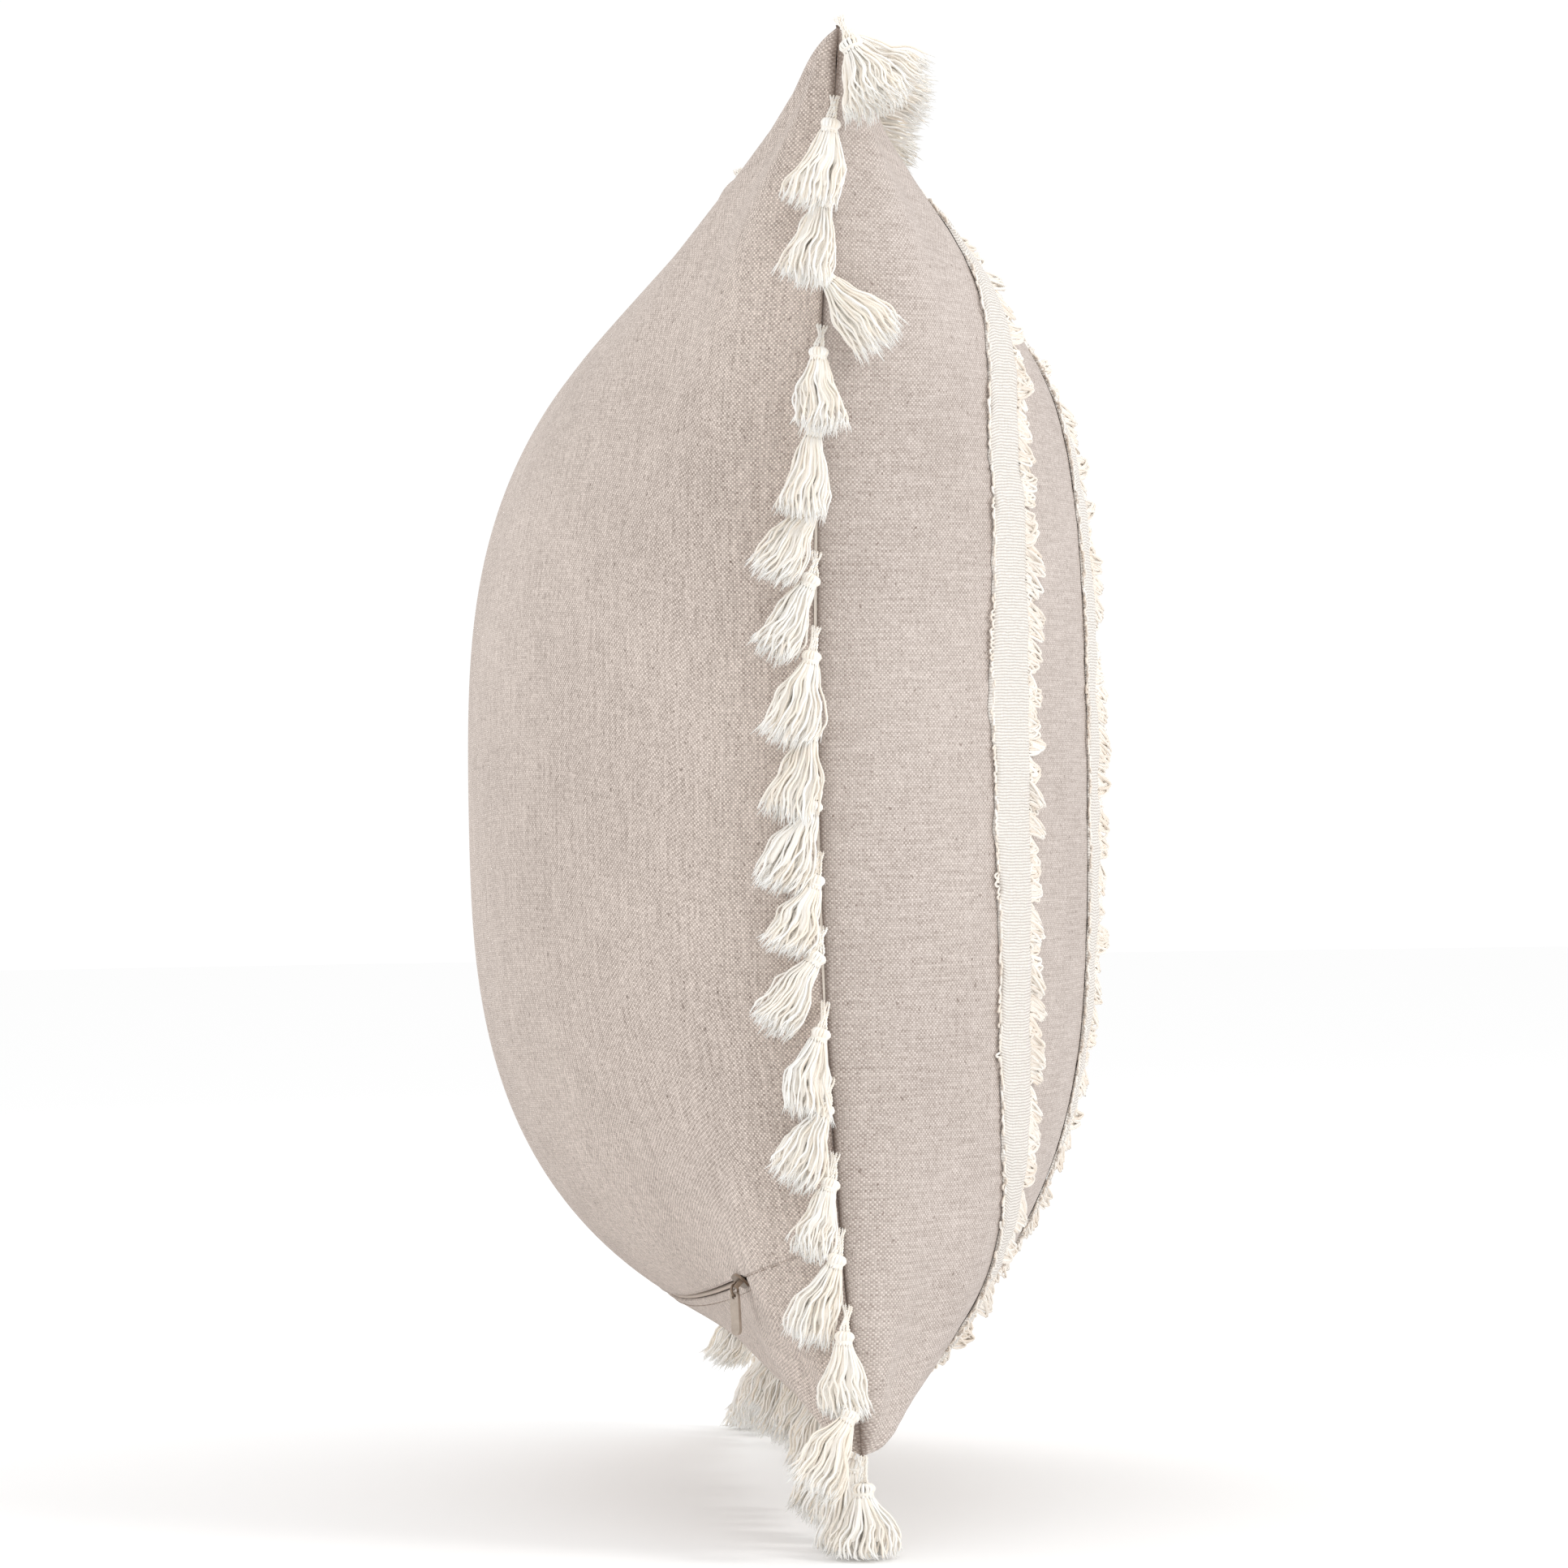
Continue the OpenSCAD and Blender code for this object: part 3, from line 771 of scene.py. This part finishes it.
def band_loops(surface, number, centre, up, along):
    """Tight loops along the outer edge, and curled clumps of long loops along the inner one."""
    bundle = Bundle()
    outer = 1 if centre > 0 else -1
    length = along[-1]
    t = np.linspace(0, 1, 11)
    swing = np.sin(np.pi * t)
    slide = (t - 0.5) * (1 + 0.5 * np.sin(2 * np.pi * t))

    def lay(edge, starts, width, reach, curl, lift, radius):
        where = starts[:, None] + slide * width[:, None] + curl[:, None] * swing ** 2
        where = np.clip(where, 0.3 * MM, length - 0.3 * MM)
        flat = centre + edge * (BAND_WIDTH / 2 + reach[:, None] * swing ** 0.8 - 1.0 * MM)
        ups = np.interp(where, along, up)
        across = laid(flat / COVER_HALF, ups)
        rise = 0.6 * MM + swing * lift[:, None]
        points = surface.place(across, ups) + surface.outward(across, ups) * rise[..., None]
        bundle.add(points, radius)

    for edge, pitch, longest in ((outer, 2.0 * MM, 3.4 * MM), (-outer, 2.3 * MM, 2.8 * MM)):
        starts = np.arange(2 * MM, length - 2 * MM, pitch)
        count = len(starts)
        starts = starts + rng.normal(0, 0.4 * MM, count)
        slow = 0.7 + 0.45 * uneven(starts, 9 * MM)[0]
        lay(edge, starts, rng.uniform(1.8, 3.2, count) * MM, longest * slow * rng.uniform(0.6, 1.1, count),
            rng.normal(-0.3, 0.8, count) * MM, rng.uniform(0.3, 1.5, count) * MM, LOOP_YARN)
    tufts = np.arange(5 * MM, length - 5 * MM, TUFT_PITCH)
    tufts = tufts + rng.normal(0, 1.3 * MM, len(tufts))
    rank = np.tile(np.arange(TUFT_STRANDS) - TUFT_STRANDS // 2, len(tufts))
    count = len(rank)

    def per_tuft(low, high):
        return np.repeat(rng.uniform(low, high, len(tufts)), TUFT_STRANDS)

    lay(-outer, np.repeat(tufts, TUFT_STRANDS) + rank * 0.5 * MM,
        (per_tuft(3, 6) + rng.normal(0, 0.4, count)) * MM,
        (per_tuft(3.5, 8.5) * (1 - 0.07 * np.abs(rank)) + rng.normal(0, 0.4, count)) * MM,
        (per_tuft(-5, 0.5) + rng.normal(0, 0.5, count)) * MM,
        (per_tuft(0.6, 4.4) + rng.normal(0, 0.5, count)) * MM, TUFT_YARN)
    piece = bundle.piece(f"band_{number + 1}_loops")
    return piece


# ---- Tassels ----

SIDE_TASSELS = 18
YARNS = 64
CORNER_YARNS = 90
YARN_POINTS = 15
FRAYED = 2
YARN = 0.42 * MM
HEART_YARN = 1.25 * MM
FRAY = 0.24 * MM
LOWEST_YARN = 1.2 * MM
GOLDEN_TURN = 2.39996
# Radius and length of the skirts: along the edges, at the upper corners and at the lower ones.
SKIRT = (9.3 * MM, 25.5 * MM)
UPPER_CORNER_SKIRT = (12.5 * MM, 22 * MM)
LOWER_CORNER_SKIRT = (14 * MM, 20.5 * MM)


def seam_at(edge, along):
    places = {"left": (-1, along), "right": (1, along), "top": (along, 1), "bottom": (along, -1)}
    return seam_plane(*places[edge])


def loop_reach(edge, along):
    side = 9.4 + 3.6 * max(0, -along)
    top = 13.4 - 7.4 * abs(along) ** 4
    return MM * np.array({"left": (-side, 2, -8), "right": (side, 2, -8),
                          "top": (0, -4, top), "bottom": (0, 1, -7)}[edge])


def hang_way(edge, along):
    """Way a tassel hangs: down and a little back, but forward over the front from the top edge."""
    if edge == "top":
        lean = math.radians(14 + 38 * abs(along) ** 5)
        return np.array((0, -math.cos(lean), -math.sin(lean)))
    tilt = math.radians(14 if edge == "bottom" else 20)
    return np.array((0, math.sin(tilt), -math.cos(tilt)))


def square_ways(way):
    helper = ACROSS if abs(way[0]) < 0.8 else np.array([0, 0, 1.0])
    one = unit(np.cross(way, helper))
    return one, np.cross(way, one)


def tassel_loop(bundle, seam, head, out_way):
    """Four yarns in a bent strap from the seam to the tassel's head."""
    t = np.linspace(0, 1, 14)
    base = seam[None] * (1 - t[:, None]) + head[None] * t[:, None]
    spine = base + np.sin(np.pi * t)[:, None] * out_way * 1.2 * MM
    across = unit(np.cross(head - seam, out_way))
    paths = []
    for k in range(4):
        side = (k - 1.5) * MM * (0.75 + 0.25 * np.cos(2 * np.pi * t))[:, None]
        wave = 0.2 * MM * np.sin(t * rng.uniform(7, 11) + rng.uniform(0, 6))[:, None]
        paths.append(spine + across * (side + wave) + out_way * rng.uniform(-0.3, 0.3) * MM)
    bundle.add(plied(np.array(paths), 0.25 * MM, 3.2 * MM), 0.36 * MM)


def tassel_head(bundle, start, way, radius, length):
    """Yarns that bulge over the knot, bound by a few turns of thread."""
    one, two = square_ways(way)
    angle = np.arange(15) * 2 * math.pi / 15
    ring = np.cos(angle)[:, None] * one + np.sin(angle)[:, None] * two
    t = np.linspace(0, 1, 9)
    girth = radius * np.array([0.25, 0.78, 1.02, 1.1, 1.0, 0.84, 0.8, 0.92, 1.05])
    rise = length * np.array([-0.15, 0.0, 0.15, 0.3, 0.45, 0.6, 0.75, 0.9, 1.05])
    paths = start + way * rise[None, :, None] + ring[:, None] * girth[None, :, None]
    bundle.add(paths, 0.62 * MM, 5)
    turns = np.linspace(0, 3, 40)
    spin = turns * 2 * math.pi + rng.uniform(0, 6)
    place = length * (0.6 + 0.2 * turns / 3)
    round_ = np.cos(spin)[:, None] * one + np.sin(spin)[:, None] * two
    wrap = start + way * place[:, None] + round_ * radius * 1.0
    bundle.add(wrap[None], 0.3 * MM, tint=0.5)


def yarn_paths(start, way, neck, end_radius, length, yarns, sweep):
    """Yarns that leave the bound neck, swell into a bell and curl in locks, and their middle lines."""
    one, two = square_ways(way)
    angle = rng.uniform(0, 2 * math.pi) + np.arange(yarns) * GOLDEN_TURN
    share = np.sqrt((np.arange(yarns) + 2.0) / (yarns + 2))
    lateral = np.cos(angle)[:, None] * one + np.sin(angle)[:, None] * two
    reach = length * (1.04 - 0.12 * share ** 3) * rng.uniform(0.93, 1.06, yarns)
    end = end_radius * share * rng.uniform(0.9, 1.08, yarns)
    t = np.linspace(0, 1, YARN_POINTS)
    swell = 0.35 * t + 0.65 * np.sin(np.pi / 2 * np.minimum(1, t * 1.12)) ** 1.3
    open_ = neck * share[:, None] * (1 - swell) + end[:, None] * swell
    middle = start + way * (reach[:, None] * t)[..., None] + sweep * (t ** 1.6)[:, None]
    paths = middle + lateral[:, None] * open_[..., None]
    lock = rng.uniform(0, 6.28)
    for axis, turn in ((one, 0.0), (two, 1.9)):
        phase = lock + turn + 1.6 * np.sin(angle + turn)[:, None] + rng.normal(0, 0.5, (yarns, 1))
        wave = np.sin(t * rng.uniform(6.5, 8.5) + phase) - np.sin(phase)
        fine = np.sin(t * rng.uniform(15, 22, (yarns, 1)) + phase * 2) - np.sin(phase * 2)
        size = (0.85 * wave + 0.28 * fine) * MM * np.minimum(1, t * 2)
        paths = paths + axis * size[..., None]
    return lifted(paths), middle


def tassel_skirt(bundle, *shape):
    """Cut yarns with thicker ones at their heart and frayed ends."""
    paths, middle = yarn_paths(*shape)
    bundle.add(paths, YARN)
    heart = lifted(middle[::5] + (paths[::5] - middle[::5]) * 0.72)
    bundle.add(heart[:, :-3], HEART_YARN, 5, tint=0.6)
    tips = paths[:, -3:]
    fray = np.repeat(tips, FRAYED, 0)
    loose = unit(rng.normal(0, 1, (len(fray), 1, 3))) * np.linspace(0.15, 1, 3)[None, :, None]
    fray = fray + loose * rng.uniform(0.5, 1.5, (len(fray), 1, 1)) * MM
    onward = unit(tips[:, -1:] - tips[:, -2:-1]).repeat(FRAYED, 0)
    fray = fray + onward * (np.linspace(0.2, 1, 3)[None, :, None] * 1.8 * MM)
    bundle.add(lifted(fray), FRAY, 3, tint=1.15)


def lifted(paths):
    """Yarns that would reach the floor bend up and lie just above it."""
    height = paths[..., 2]
    bent = LOWEST_YARN * np.exp((height - LOWEST_YARN) / (12 * MM))
    paths[..., 2] = np.where(height < LOWEST_YARN, bent, height)
    return paths


def jittered(way, amount):
    return unit(way + rng.normal(0, amount, 3))


def tassel_pieces(edge, bundles):
    made = []
    for kind, bundle in zip(("loops", "heads", "skirts"), bundles):
        piece = bundle.piece(f"{edge}_{kind}")
        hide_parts(f"{edge}_tassel_{kind}")
        made.append(piece)
    return made


def edge_tassels(edge):
    loops, heads, skirts = Bundle(), Bundle(), Bundle()
    upright = edge in ("left", "right")
    for i in range(1, SIDE_TASSELS + 1):
        along = i * 2 / (SIDE_TASSELS + 1) - 1
        seam = seam_at(edge, along)
        reach = loop_reach(edge, along)
        way = hang_way(edge, along)
        sweep = rng.normal(0, 1.6, 3) * MM
        if upright:
            # Most tassels flop a little to the back, and one on each side right over to the front.
            flop = 1.0 + rng.normal(0, 0.35)
            if (edge, i) in (("left", SIDE_TASSELS - 2), ("right", 5)):
                flop = -1.9
            way = way * np.array([1, flop, 1])
        way = jittered(unit(way), 0.06)
        head = seam + reach * rng.uniform(0.9, 1.04)
        out_way = unit(np.array([reach[0], 0, 0]) if upright else np.array([0, 0, reach[2]]))
        radius = SKIRT[0] * rng.uniform(0.86, 1.18)
        tassel_loop(loops, seam - unit(reach) * 2 * MM, head, out_way)
        tassel_head(heads, head, way, 2.7 * MM, 4 * MM)
        length = SKIRT[1] * rng.uniform(0.93, 1.08)
        tassel_skirt(skirts, head + way * 3.4 * MM, way, 2.9 * MM, radius, length, YARNS, sweep)
    return tassel_pieces(edge, (loops, heads, skirts))


def corner_tassels():
    loops, heads, skirts = Bundle(), Bundle(), Bundle()
    for across in (-1, 1):
        for up in (-1, 1):
            upper = up > 0
            way = unit(np.array([0.3 * across, -0.34, -0.9])) if upper else np.array([0, 0, -1.0])
            seam = seam_plane(across, up)
            head = seam + way * 8 * MM
            bell = UPPER_CORNER_SKIRT if upper else LOWER_CORNER_SKIRT
            tassel_loop(loops, seam - way * 2 * MM, head, np.array([across, 0, 0.0]))
            tassel_head(heads, head, way, 3.4 * MM, 4.2 * MM)
            tassel_skirt(skirts, head + way * 3.6 * MM, way, 3.4 * MM, *bell, CORNER_YARNS, np.zeros(3))
    return tassel_pieces("corner", (loops, heads, skirts))


def build_tassels():
    made = [piece for edge in ("left", "right", "top", "bottom") for piece in edge_tassels(edge)]
    return made + corner_tassels()


# ---- Zip: tapes folded up between the lips, and moulded spirals for the CAD's coil rods ----

ARC_END = math.asin(ZIP_HALF / ARC_RADIUS)
ARC_CENTRE = ZIP_MIDDLE - ARC_RADIUS * OUTWARD
COIL_TURNS = 330
COIL_WIRE = 0.28 * MM
SHUT_TAPE_DEPTH = 1.7 * MM
# How far out and how far up each point of a tape's section lies, in millimetres.
TAPE_SECTIONS = {
    "zip_tape_upper": ((-2.9, 0.45), (-1.5, 0.45), (-1.0, 0.55), (-1.05, 0.7), (-1.9, 0.85),
                       (-3.0, 1.2), (-3.3, 3.0), (-4.6, 6.5)),
    "zip_tape_lower": ((-2.9, -0.45), (-1.4, -0.5), (-0.95, -0.7), (-0.85, -1.3), (-0.95, -1.8),
                       (-1.5, -2.05), (-2.6, -2.2), (-3.3, -2.8), (-3.4, -6.5)),
}


def on_arc(angle, deep, rise):
    radius = ARC_RADIUS + deep
    point = ARC_CENTRE + (np.sin(angle) * radius)[..., None] * ACROSS
    return point + (np.cos(angle) * radius)[..., None] * OUTWARD + rise[..., None] * UPWARD


def build_tapes():
    made = []
    angle = np.linspace(-ARC_END, ARC_END, 500)[:, None]
    sunk = SHUT_TAPE_DEPTH * (1 - lips_apart(ARC_RADIUS * np.sin(angle)))
    for node, section in TAPE_SECTIONS.items():
        deep, rise = np.array(section).T * MM
        points = on_arc(angle, deep - sunk, np.broadcast_to(rise, (len(angle), len(rise))))
        faces = grid_faces(*points.shape[:2], flip=node.endswith("lower"))
        piece = new_piece(node.replace("zip_", ""), points, faces)
        thick = piece.modifiers.new("thickness", "SOLIDIFY")
        thick.thickness = 0.35 * MM
        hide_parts(node)
        made.append(piece)
    return made


def build_coils():
    made = []
    steps = COIL_TURNS * 8 + 1
    angle = np.linspace(-ARC_END, ARC_END, steps)
    spin = np.linspace(0, COIL_TURNS * 2 * math.pi, steps)
    for name, side in (("coil_upper", 1), ("coil_lower", -1)):
        deep = -4.4 * MM + 0.72 * MM * np.cos(spin)
        rise = side * 1.7 * MM + 0.85 * MM * np.sin(spin)
        bundle = Bundle()
        bundle.add(on_arc(angle, deep, rise)[None], COIL_WIRE, tint=0.5)
        piece = bundle.piece(name)
        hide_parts("zip_" + name)
        made.append(piece)
    return made


# ---- Materials ----

class Paint:
    """A procedural material and short names for the nodes it is made of."""

    def __init__(self, name, **constants):
        self.material = bpy.data.materials.new(name)
        self.material.use_nodes = True
        self.tree = self.material.node_tree
        self.shader = self.tree.nodes["Principled BSDF"]
        for key, value in constants.items():
            self.shader.inputs[key.replace("_", " ").title().replace("Ior", "IOR")].default_value = value

    def node(self, kind, **settings):
        made = self.tree.nodes.new("ShaderNode" + kind)
        for key, value in settings.items():
            setattr(made, key, value)
        return made

    def feed(self, socket, value):
        if isinstance(value, bpy.types.NodeSocket):
            self.tree.links.new(value, socket)
        else:
            socket.default_value = value

    def fed(self, kind, values, **settings):
        made = self.node(kind, **settings)
        for socket, value in zip(made.inputs, values):
            self.feed(socket, value)
        return made.outputs[0]

    def maths(self, operation, *values):
        return self.fed("Math", values, operation=operation)

    def noise(self, vector, scale, detail=2.0, rough=0.5):
        made = self.node("TexNoise")
        self.feed(made.inputs["Vector"], vector)
        made.inputs["Scale"].default_value = scale
        made.inputs["Detail"].default_value = detail
        made.inputs["Roughness"].default_value = rough
        return made.outputs["Fac"]

    def stretched(self, vector, scale):
        made = self.node("Mapping")
        self.feed(made.inputs["Vector"], vector)
        made.inputs["Scale"].default_value = scale
        return made.outputs["Vector"]

    def ramp(self, value, low, high, to_low=0.0, to_high=1.0):
        return self.fed("MapRange", (value, low, high, to_low, to_high))

    def blend(self, share, one, two):
        made = self.node("Mix", data_type="RGBA")
        self.feed(made.inputs["Factor"], share)
        self.feed(made.inputs[6], one)
        self.feed(made.inputs[7], two)
        return made.outputs[2]

    def uv(self):
        return self.node("UVMap", uv_map="cloth").outputs["UV"]

    def local(self):
        return self.node("TexCoord").outputs["Object"]

    def point_value(self, name):
        return self.node("Attribute", attribute_name=name).outputs["Fac"]

    def finish(self, colour, rough, bump, strength, distance):
        self.feed(self.shader.inputs["Base Color"], colour)
        self.feed(self.shader.inputs["Roughness"], rough)
        relief = self.node("Bump")
        relief.inputs["Strength"].default_value = strength
        relief.inputs["Distance"].default_value = distance
        self.feed(relief.inputs["Height"], bump)
        self.feed(self.shader.inputs["Normal"], relief.outputs["Normal"])
        return self.material


def srgb(red, green, blue):
    def linear(value):
        value = value / 255
        return value / 12.92 if value <= 0.04045 else ((value + 0.055) / 1.055) ** 2.4
    return (linear(red), linear(green), linear(blue), 1.0)


WEAVE_PITCH = 0.74 * MM
RIB_PITCH = 1.05 * MM
CORD_PITCH = 2.1 * MM


def linen(name, light, dark, fleck_and_seam_shade, streak):
    """Plain weave of pale yarns one way and darker ones the other, uneven and flecked, with painted shade
    between the yarns and along the sewn edges.
    """
    paint = Paint(name, sheen_weight=0.12, sheen_roughness=0.6, specular_ior_level=0.15)
    cloth = paint.uv()
    split = paint.node("SeparateXYZ")
    paint.feed(split.inputs[0], cloth)
    drift = paint.maths("MULTIPLY", paint.noise(cloth, 130, 2), 1.6)
    cell = paint.node("CombineXYZ")
    waves = []
    for axis in (0, 1):
        yarns = paint.maths("MULTIPLY_ADD", split.outputs[axis], 1 / WEAVE_PITCH, drift)
        paint.feed(cell.inputs[axis], paint.maths("FLOOR", yarns))
        waves.append(paint.maths("SINE", paint.maths("MULTIPLY", yarns, math.pi)))
    over = paint.ramp(paint.maths("MULTIPLY", *waves), -0.2, 0.2)
    rounds = [paint.maths("ABSOLUTE", wave) for wave in waves]
    relief = paint.maths("SQRT", paint.maths("MULTIPLY", *rounds))
    grain = paint.node("TexWhiteNoise", noise_dimensions="2D")
    paint.feed(grain.inputs["Vector"], cell.outputs[0])
    warp = paint.noise(paint.stretched(cloth, (900, 45, 1)), 1.0, 3, 0.6)
    weft = paint.noise(paint.stretched(cloth, (45, 900, 1)), 1.0, 3, 0.6)
    main, cross = (warp, weft) if streak == "up" else (weft, warp)
    yarn = paint.maths("MULTIPLY_ADD", main, 0.7, paint.maths("MULTIPLY", cross, 0.3))
    tone = paint.maths("MULTIPLY_ADD", over, 0.32, paint.maths("MULTIPLY", grain.outputs["Value"], 0.26))
    # The yarns' rounded relief also tones the colour, lighter on their crowns and darker where they meet:
    # painted shade between the yarns.
    tone = paint.maths("MULTIPLY_ADD", relief, 0.26, tone)
    tone = paint.maths("ADD", tone, paint.ramp(yarn, 0.34, 0.66, 0.04, 0.28))
    tone = paint.maths("ADD", tone, paint.ramp(paint.noise(cloth, 11, 3), 0.3, 0.7, -0.05, 0.05))
    colour = paint.blend(tone, dark, light)
    specks = paint.noise(paint.stretched(cloth, (560, 420, 1)), 1.0, 1, 0.4)
    colour = paint.blend(paint.ramp(specks, 0.71, 0.76, 0.0, 0.5), colour, fleck_and_seam_shade)
    # Within 2.2 mm of a sewn edge the colour is drawn towards the dark fleck colour: painted shade in the
    # seam's crease.
    near = paint.ramp(paint.point_value("tint"), 0.0, 0.0022, 0.75, 0.0)
    colour = paint.blend(near, colour, fleck_and_seam_shade)
    rough = paint.ramp(yarn, 0.3, 0.7, 0.8, 0.95)
    return paint.finish(colour, rough, relief, 0.5, 0.0003)


def ribbed_band(name):
    """Tape of fine cross ribs, with lengthwise cords."""
    paint = Paint(name, sheen_weight=0.15, sheen_roughness=0.6, specular_ior_level=0.2)
    cloth = paint.uv()
    split = paint.node("SeparateXYZ")
    paint.feed(split.inputs[0], cloth)
    wobble = paint.maths("MULTIPLY", paint.noise(cloth, 220, 2), 0.9 * MM)
    rib = paint.maths("MULTIPLY", paint.maths("ADD", split.outputs[1], wobble), math.pi / RIB_PITCH)
    cord = paint.maths("MULTIPLY", split.outputs[0], math.pi / CORD_PITCH)
    ribs = paint.maths("ABSOLUTE", paint.maths("SINE", rib))
    cords = paint.maths("ABSOLUTE", paint.maths("SINE", cord))
    relief = paint.maths("MULTIPLY", ribs, paint.ramp(cords, 0.0, 0.5, 0.75, 1.0))
    fuzz = paint.noise(paint.stretched(cloth, (900, 500, 1)), 1.0, 3, 0.6)
    # The ribs and cords also tone the colour, lighter on their crests and darker between them: painted
    # shade in the grooves of the tape.
    tone = paint.maths("MULTIPLY_ADD", relief, 0.4, paint.maths("MULTIPLY", fuzz, 0.6))
    colour = paint.blend(paint.ramp(tone, 0.1, 0.8), srgb(214, 204, 194), srgb(245, 241, 235))
    rough = paint.ramp(fuzz, 0.3, 0.7, 0.8, 0.95)
    return paint.finish(colour, rough, relief, 0.8, 0.0005)


def yarn_paint(name, low, high, scale=2600.0, bump=0.35):
    """Cotton yarn: every strand has its own tint, with fibre streaks and soft relief."""
    paint = Paint(name, sheen_weight=0.08, sheen_roughness=0.6, specular_ior_level=0.1)
    place = paint.local()
    fibre = paint.noise(place, scale, 3, 0.6)
    patch = paint.noise(place, 140, 2, 0.5)
    tint = paint.point_value("tint")
    tone = paint.maths("MULTIPLY_ADD", tint, 0.55, paint.maths("MULTIPLY", fibre, 0.4))
    tone = paint.maths("MULTIPLY_ADD", patch, 0.3, tone)
    colour = paint.blend(paint.ramp(tone, 0.2, 0.95), low, high)
    rough = paint.ramp(fibre, 0.3, 0.7, 0.82, 0.96)
    return paint.finish(colour, rough, fibre, bump, 0.0002)


def tape_paint(name):
    paint = Paint(name, sheen_weight=0.1, specular_ior_level=0.3)
    place = paint.local()
    twill = paint.node("TexWave", wave_type="BANDS", bands_direction="DIAGONAL")
    paint.feed(twill.inputs["Vector"], place)
    twill.inputs["Scale"].default_value = 700
    fine = paint.noise(place, 1500, 3)
    tone = paint.maths("ADD", paint.maths("MULTIPLY", twill.outputs["Fac"], 0.3), fine)
    colour = paint.blend(paint.ramp(tone, 0.3, 1.0), srgb(180, 163, 149), srgb(212, 197, 184))
    return paint.finish(colour, paint.ramp(fine, 0.3, 0.7, 0.6, 0.8), tone, 0.3, 0.0002)


def metal_paint(name, low, high, metallic, rough_low, rough_high):
    """Painted or plated metal with worn, slightly uneven gloss."""
    paint = Paint(name, metallic=metallic, specular_ior_level=0.5)
    place = paint.local()
    cloud = paint.noise(place, 420, 4, 0.6)
    grain = paint.noise(paint.stretched(place, (2400, 900, 900)), 1.0, 2)
    colour = paint.blend(paint.ramp(cloud, 0.3, 0.75), low, high)
    return paint.finish(colour, paint.ramp(cloud, 0.3, 0.7, rough_low, rough_high), grain, 0.12, 0.0001)


def filling_paint(name, scale):
    paint = Paint(name, sheen_weight=0.2)
    place = paint.local()
    fibre = paint.noise(place, scale, 5, 0.7)
    colour = paint.blend(paint.ramp(fibre, 0.3, 0.7), srgb(226, 226, 224), srgb(246, 246, 245))
    return paint.finish(colour, paint.ramp(fibre, 0.3, 0.7, 0.85, 0.97), fibre, 0.4, 0.0006)


def dress(piece, material):
    piece.data.materials.clear()
    piece.data.materials.append(material)


def paint_cloth(cover, bands, tassels, tapes, coils, stitches):
    back_linen = linen("back_linen", srgb(243, 229, 219), srgb(92, 73, 60), srgb(78, 56, 42), "up")
    front_linen = linen("front_linen", srgb(227, 216, 209), srgb(123, 106, 95), srgb(98, 77, 64), "across")
    band = ribbed_band("band_tape")
    band_yarn = yarn_paint("band_yarn", srgb(238, 225, 210), srgb(253, 250, 245))
    for piece in cover:
        dress(piece, front_linen if piece.name.startswith("front") else back_linen)
    for piece in bands:
        dress(piece, band if piece.name.endswith("tape") else band_yarn)
    tassel = yarn_paint("tassel_yarn", srgb(251, 240, 224), srgb(255, 254, 251))
    nylon = yarn_paint("coil_nylon", srgb(140, 126, 114), srgb(176, 162, 150), 900.0, 0.1)
    thread = yarn_paint("stitch_thread", srgb(132, 116, 103), srgb(176, 160, 148), 1800.0, 0.1)
    tape = tape_paint("zip_tape_cloth")
    for pieces, material in ((tassels, tassel), (coils, nylon), (tapes, tape), ([stitches], thread)):
        for piece in pieces:
            dress(piece, material)


def paint_nodes():
    """Materials of the CAD nodes that are shown as they are."""
    bronze = metal_paint("slider_bronze", srgb(104, 88, 74), srgb(160, 140, 122), 0.6, 0.3, 0.45)
    enamel = metal_paint("pull_enamel", srgb(164, 150, 137), srgb(188, 174, 161), 0.1, 0.35, 0.5)
    header = yarn_paint("header_braid", srgb(214, 203, 191), srgb(244, 240, 234), 1200.0)
    for node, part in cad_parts.items():
        if part.hide_render:
            continue
        if node == "pull_tab":
            dress(part, enamel)
        elif node.startswith(("zip_stop", "slider", "pull_link")):
            dress(part, bronze)
        elif node == "insert_fill":
            dress(part, filling_paint("fibre_fill", 160))
        elif node.startswith("insert"):
            dress(part, filling_paint("insert_cloth_" + node, 900))
        else:
            dress(part, header)


make_camera()
make_studio()
make_floor()
cover, surface, stitches = build_cover()
bands = build_bands(surface)
tassels = build_tassels()
tapes = build_tapes()
coils = build_coils()
paint_cloth(cover, bands, tassels, tapes, coils, stitches)
paint_nodes()
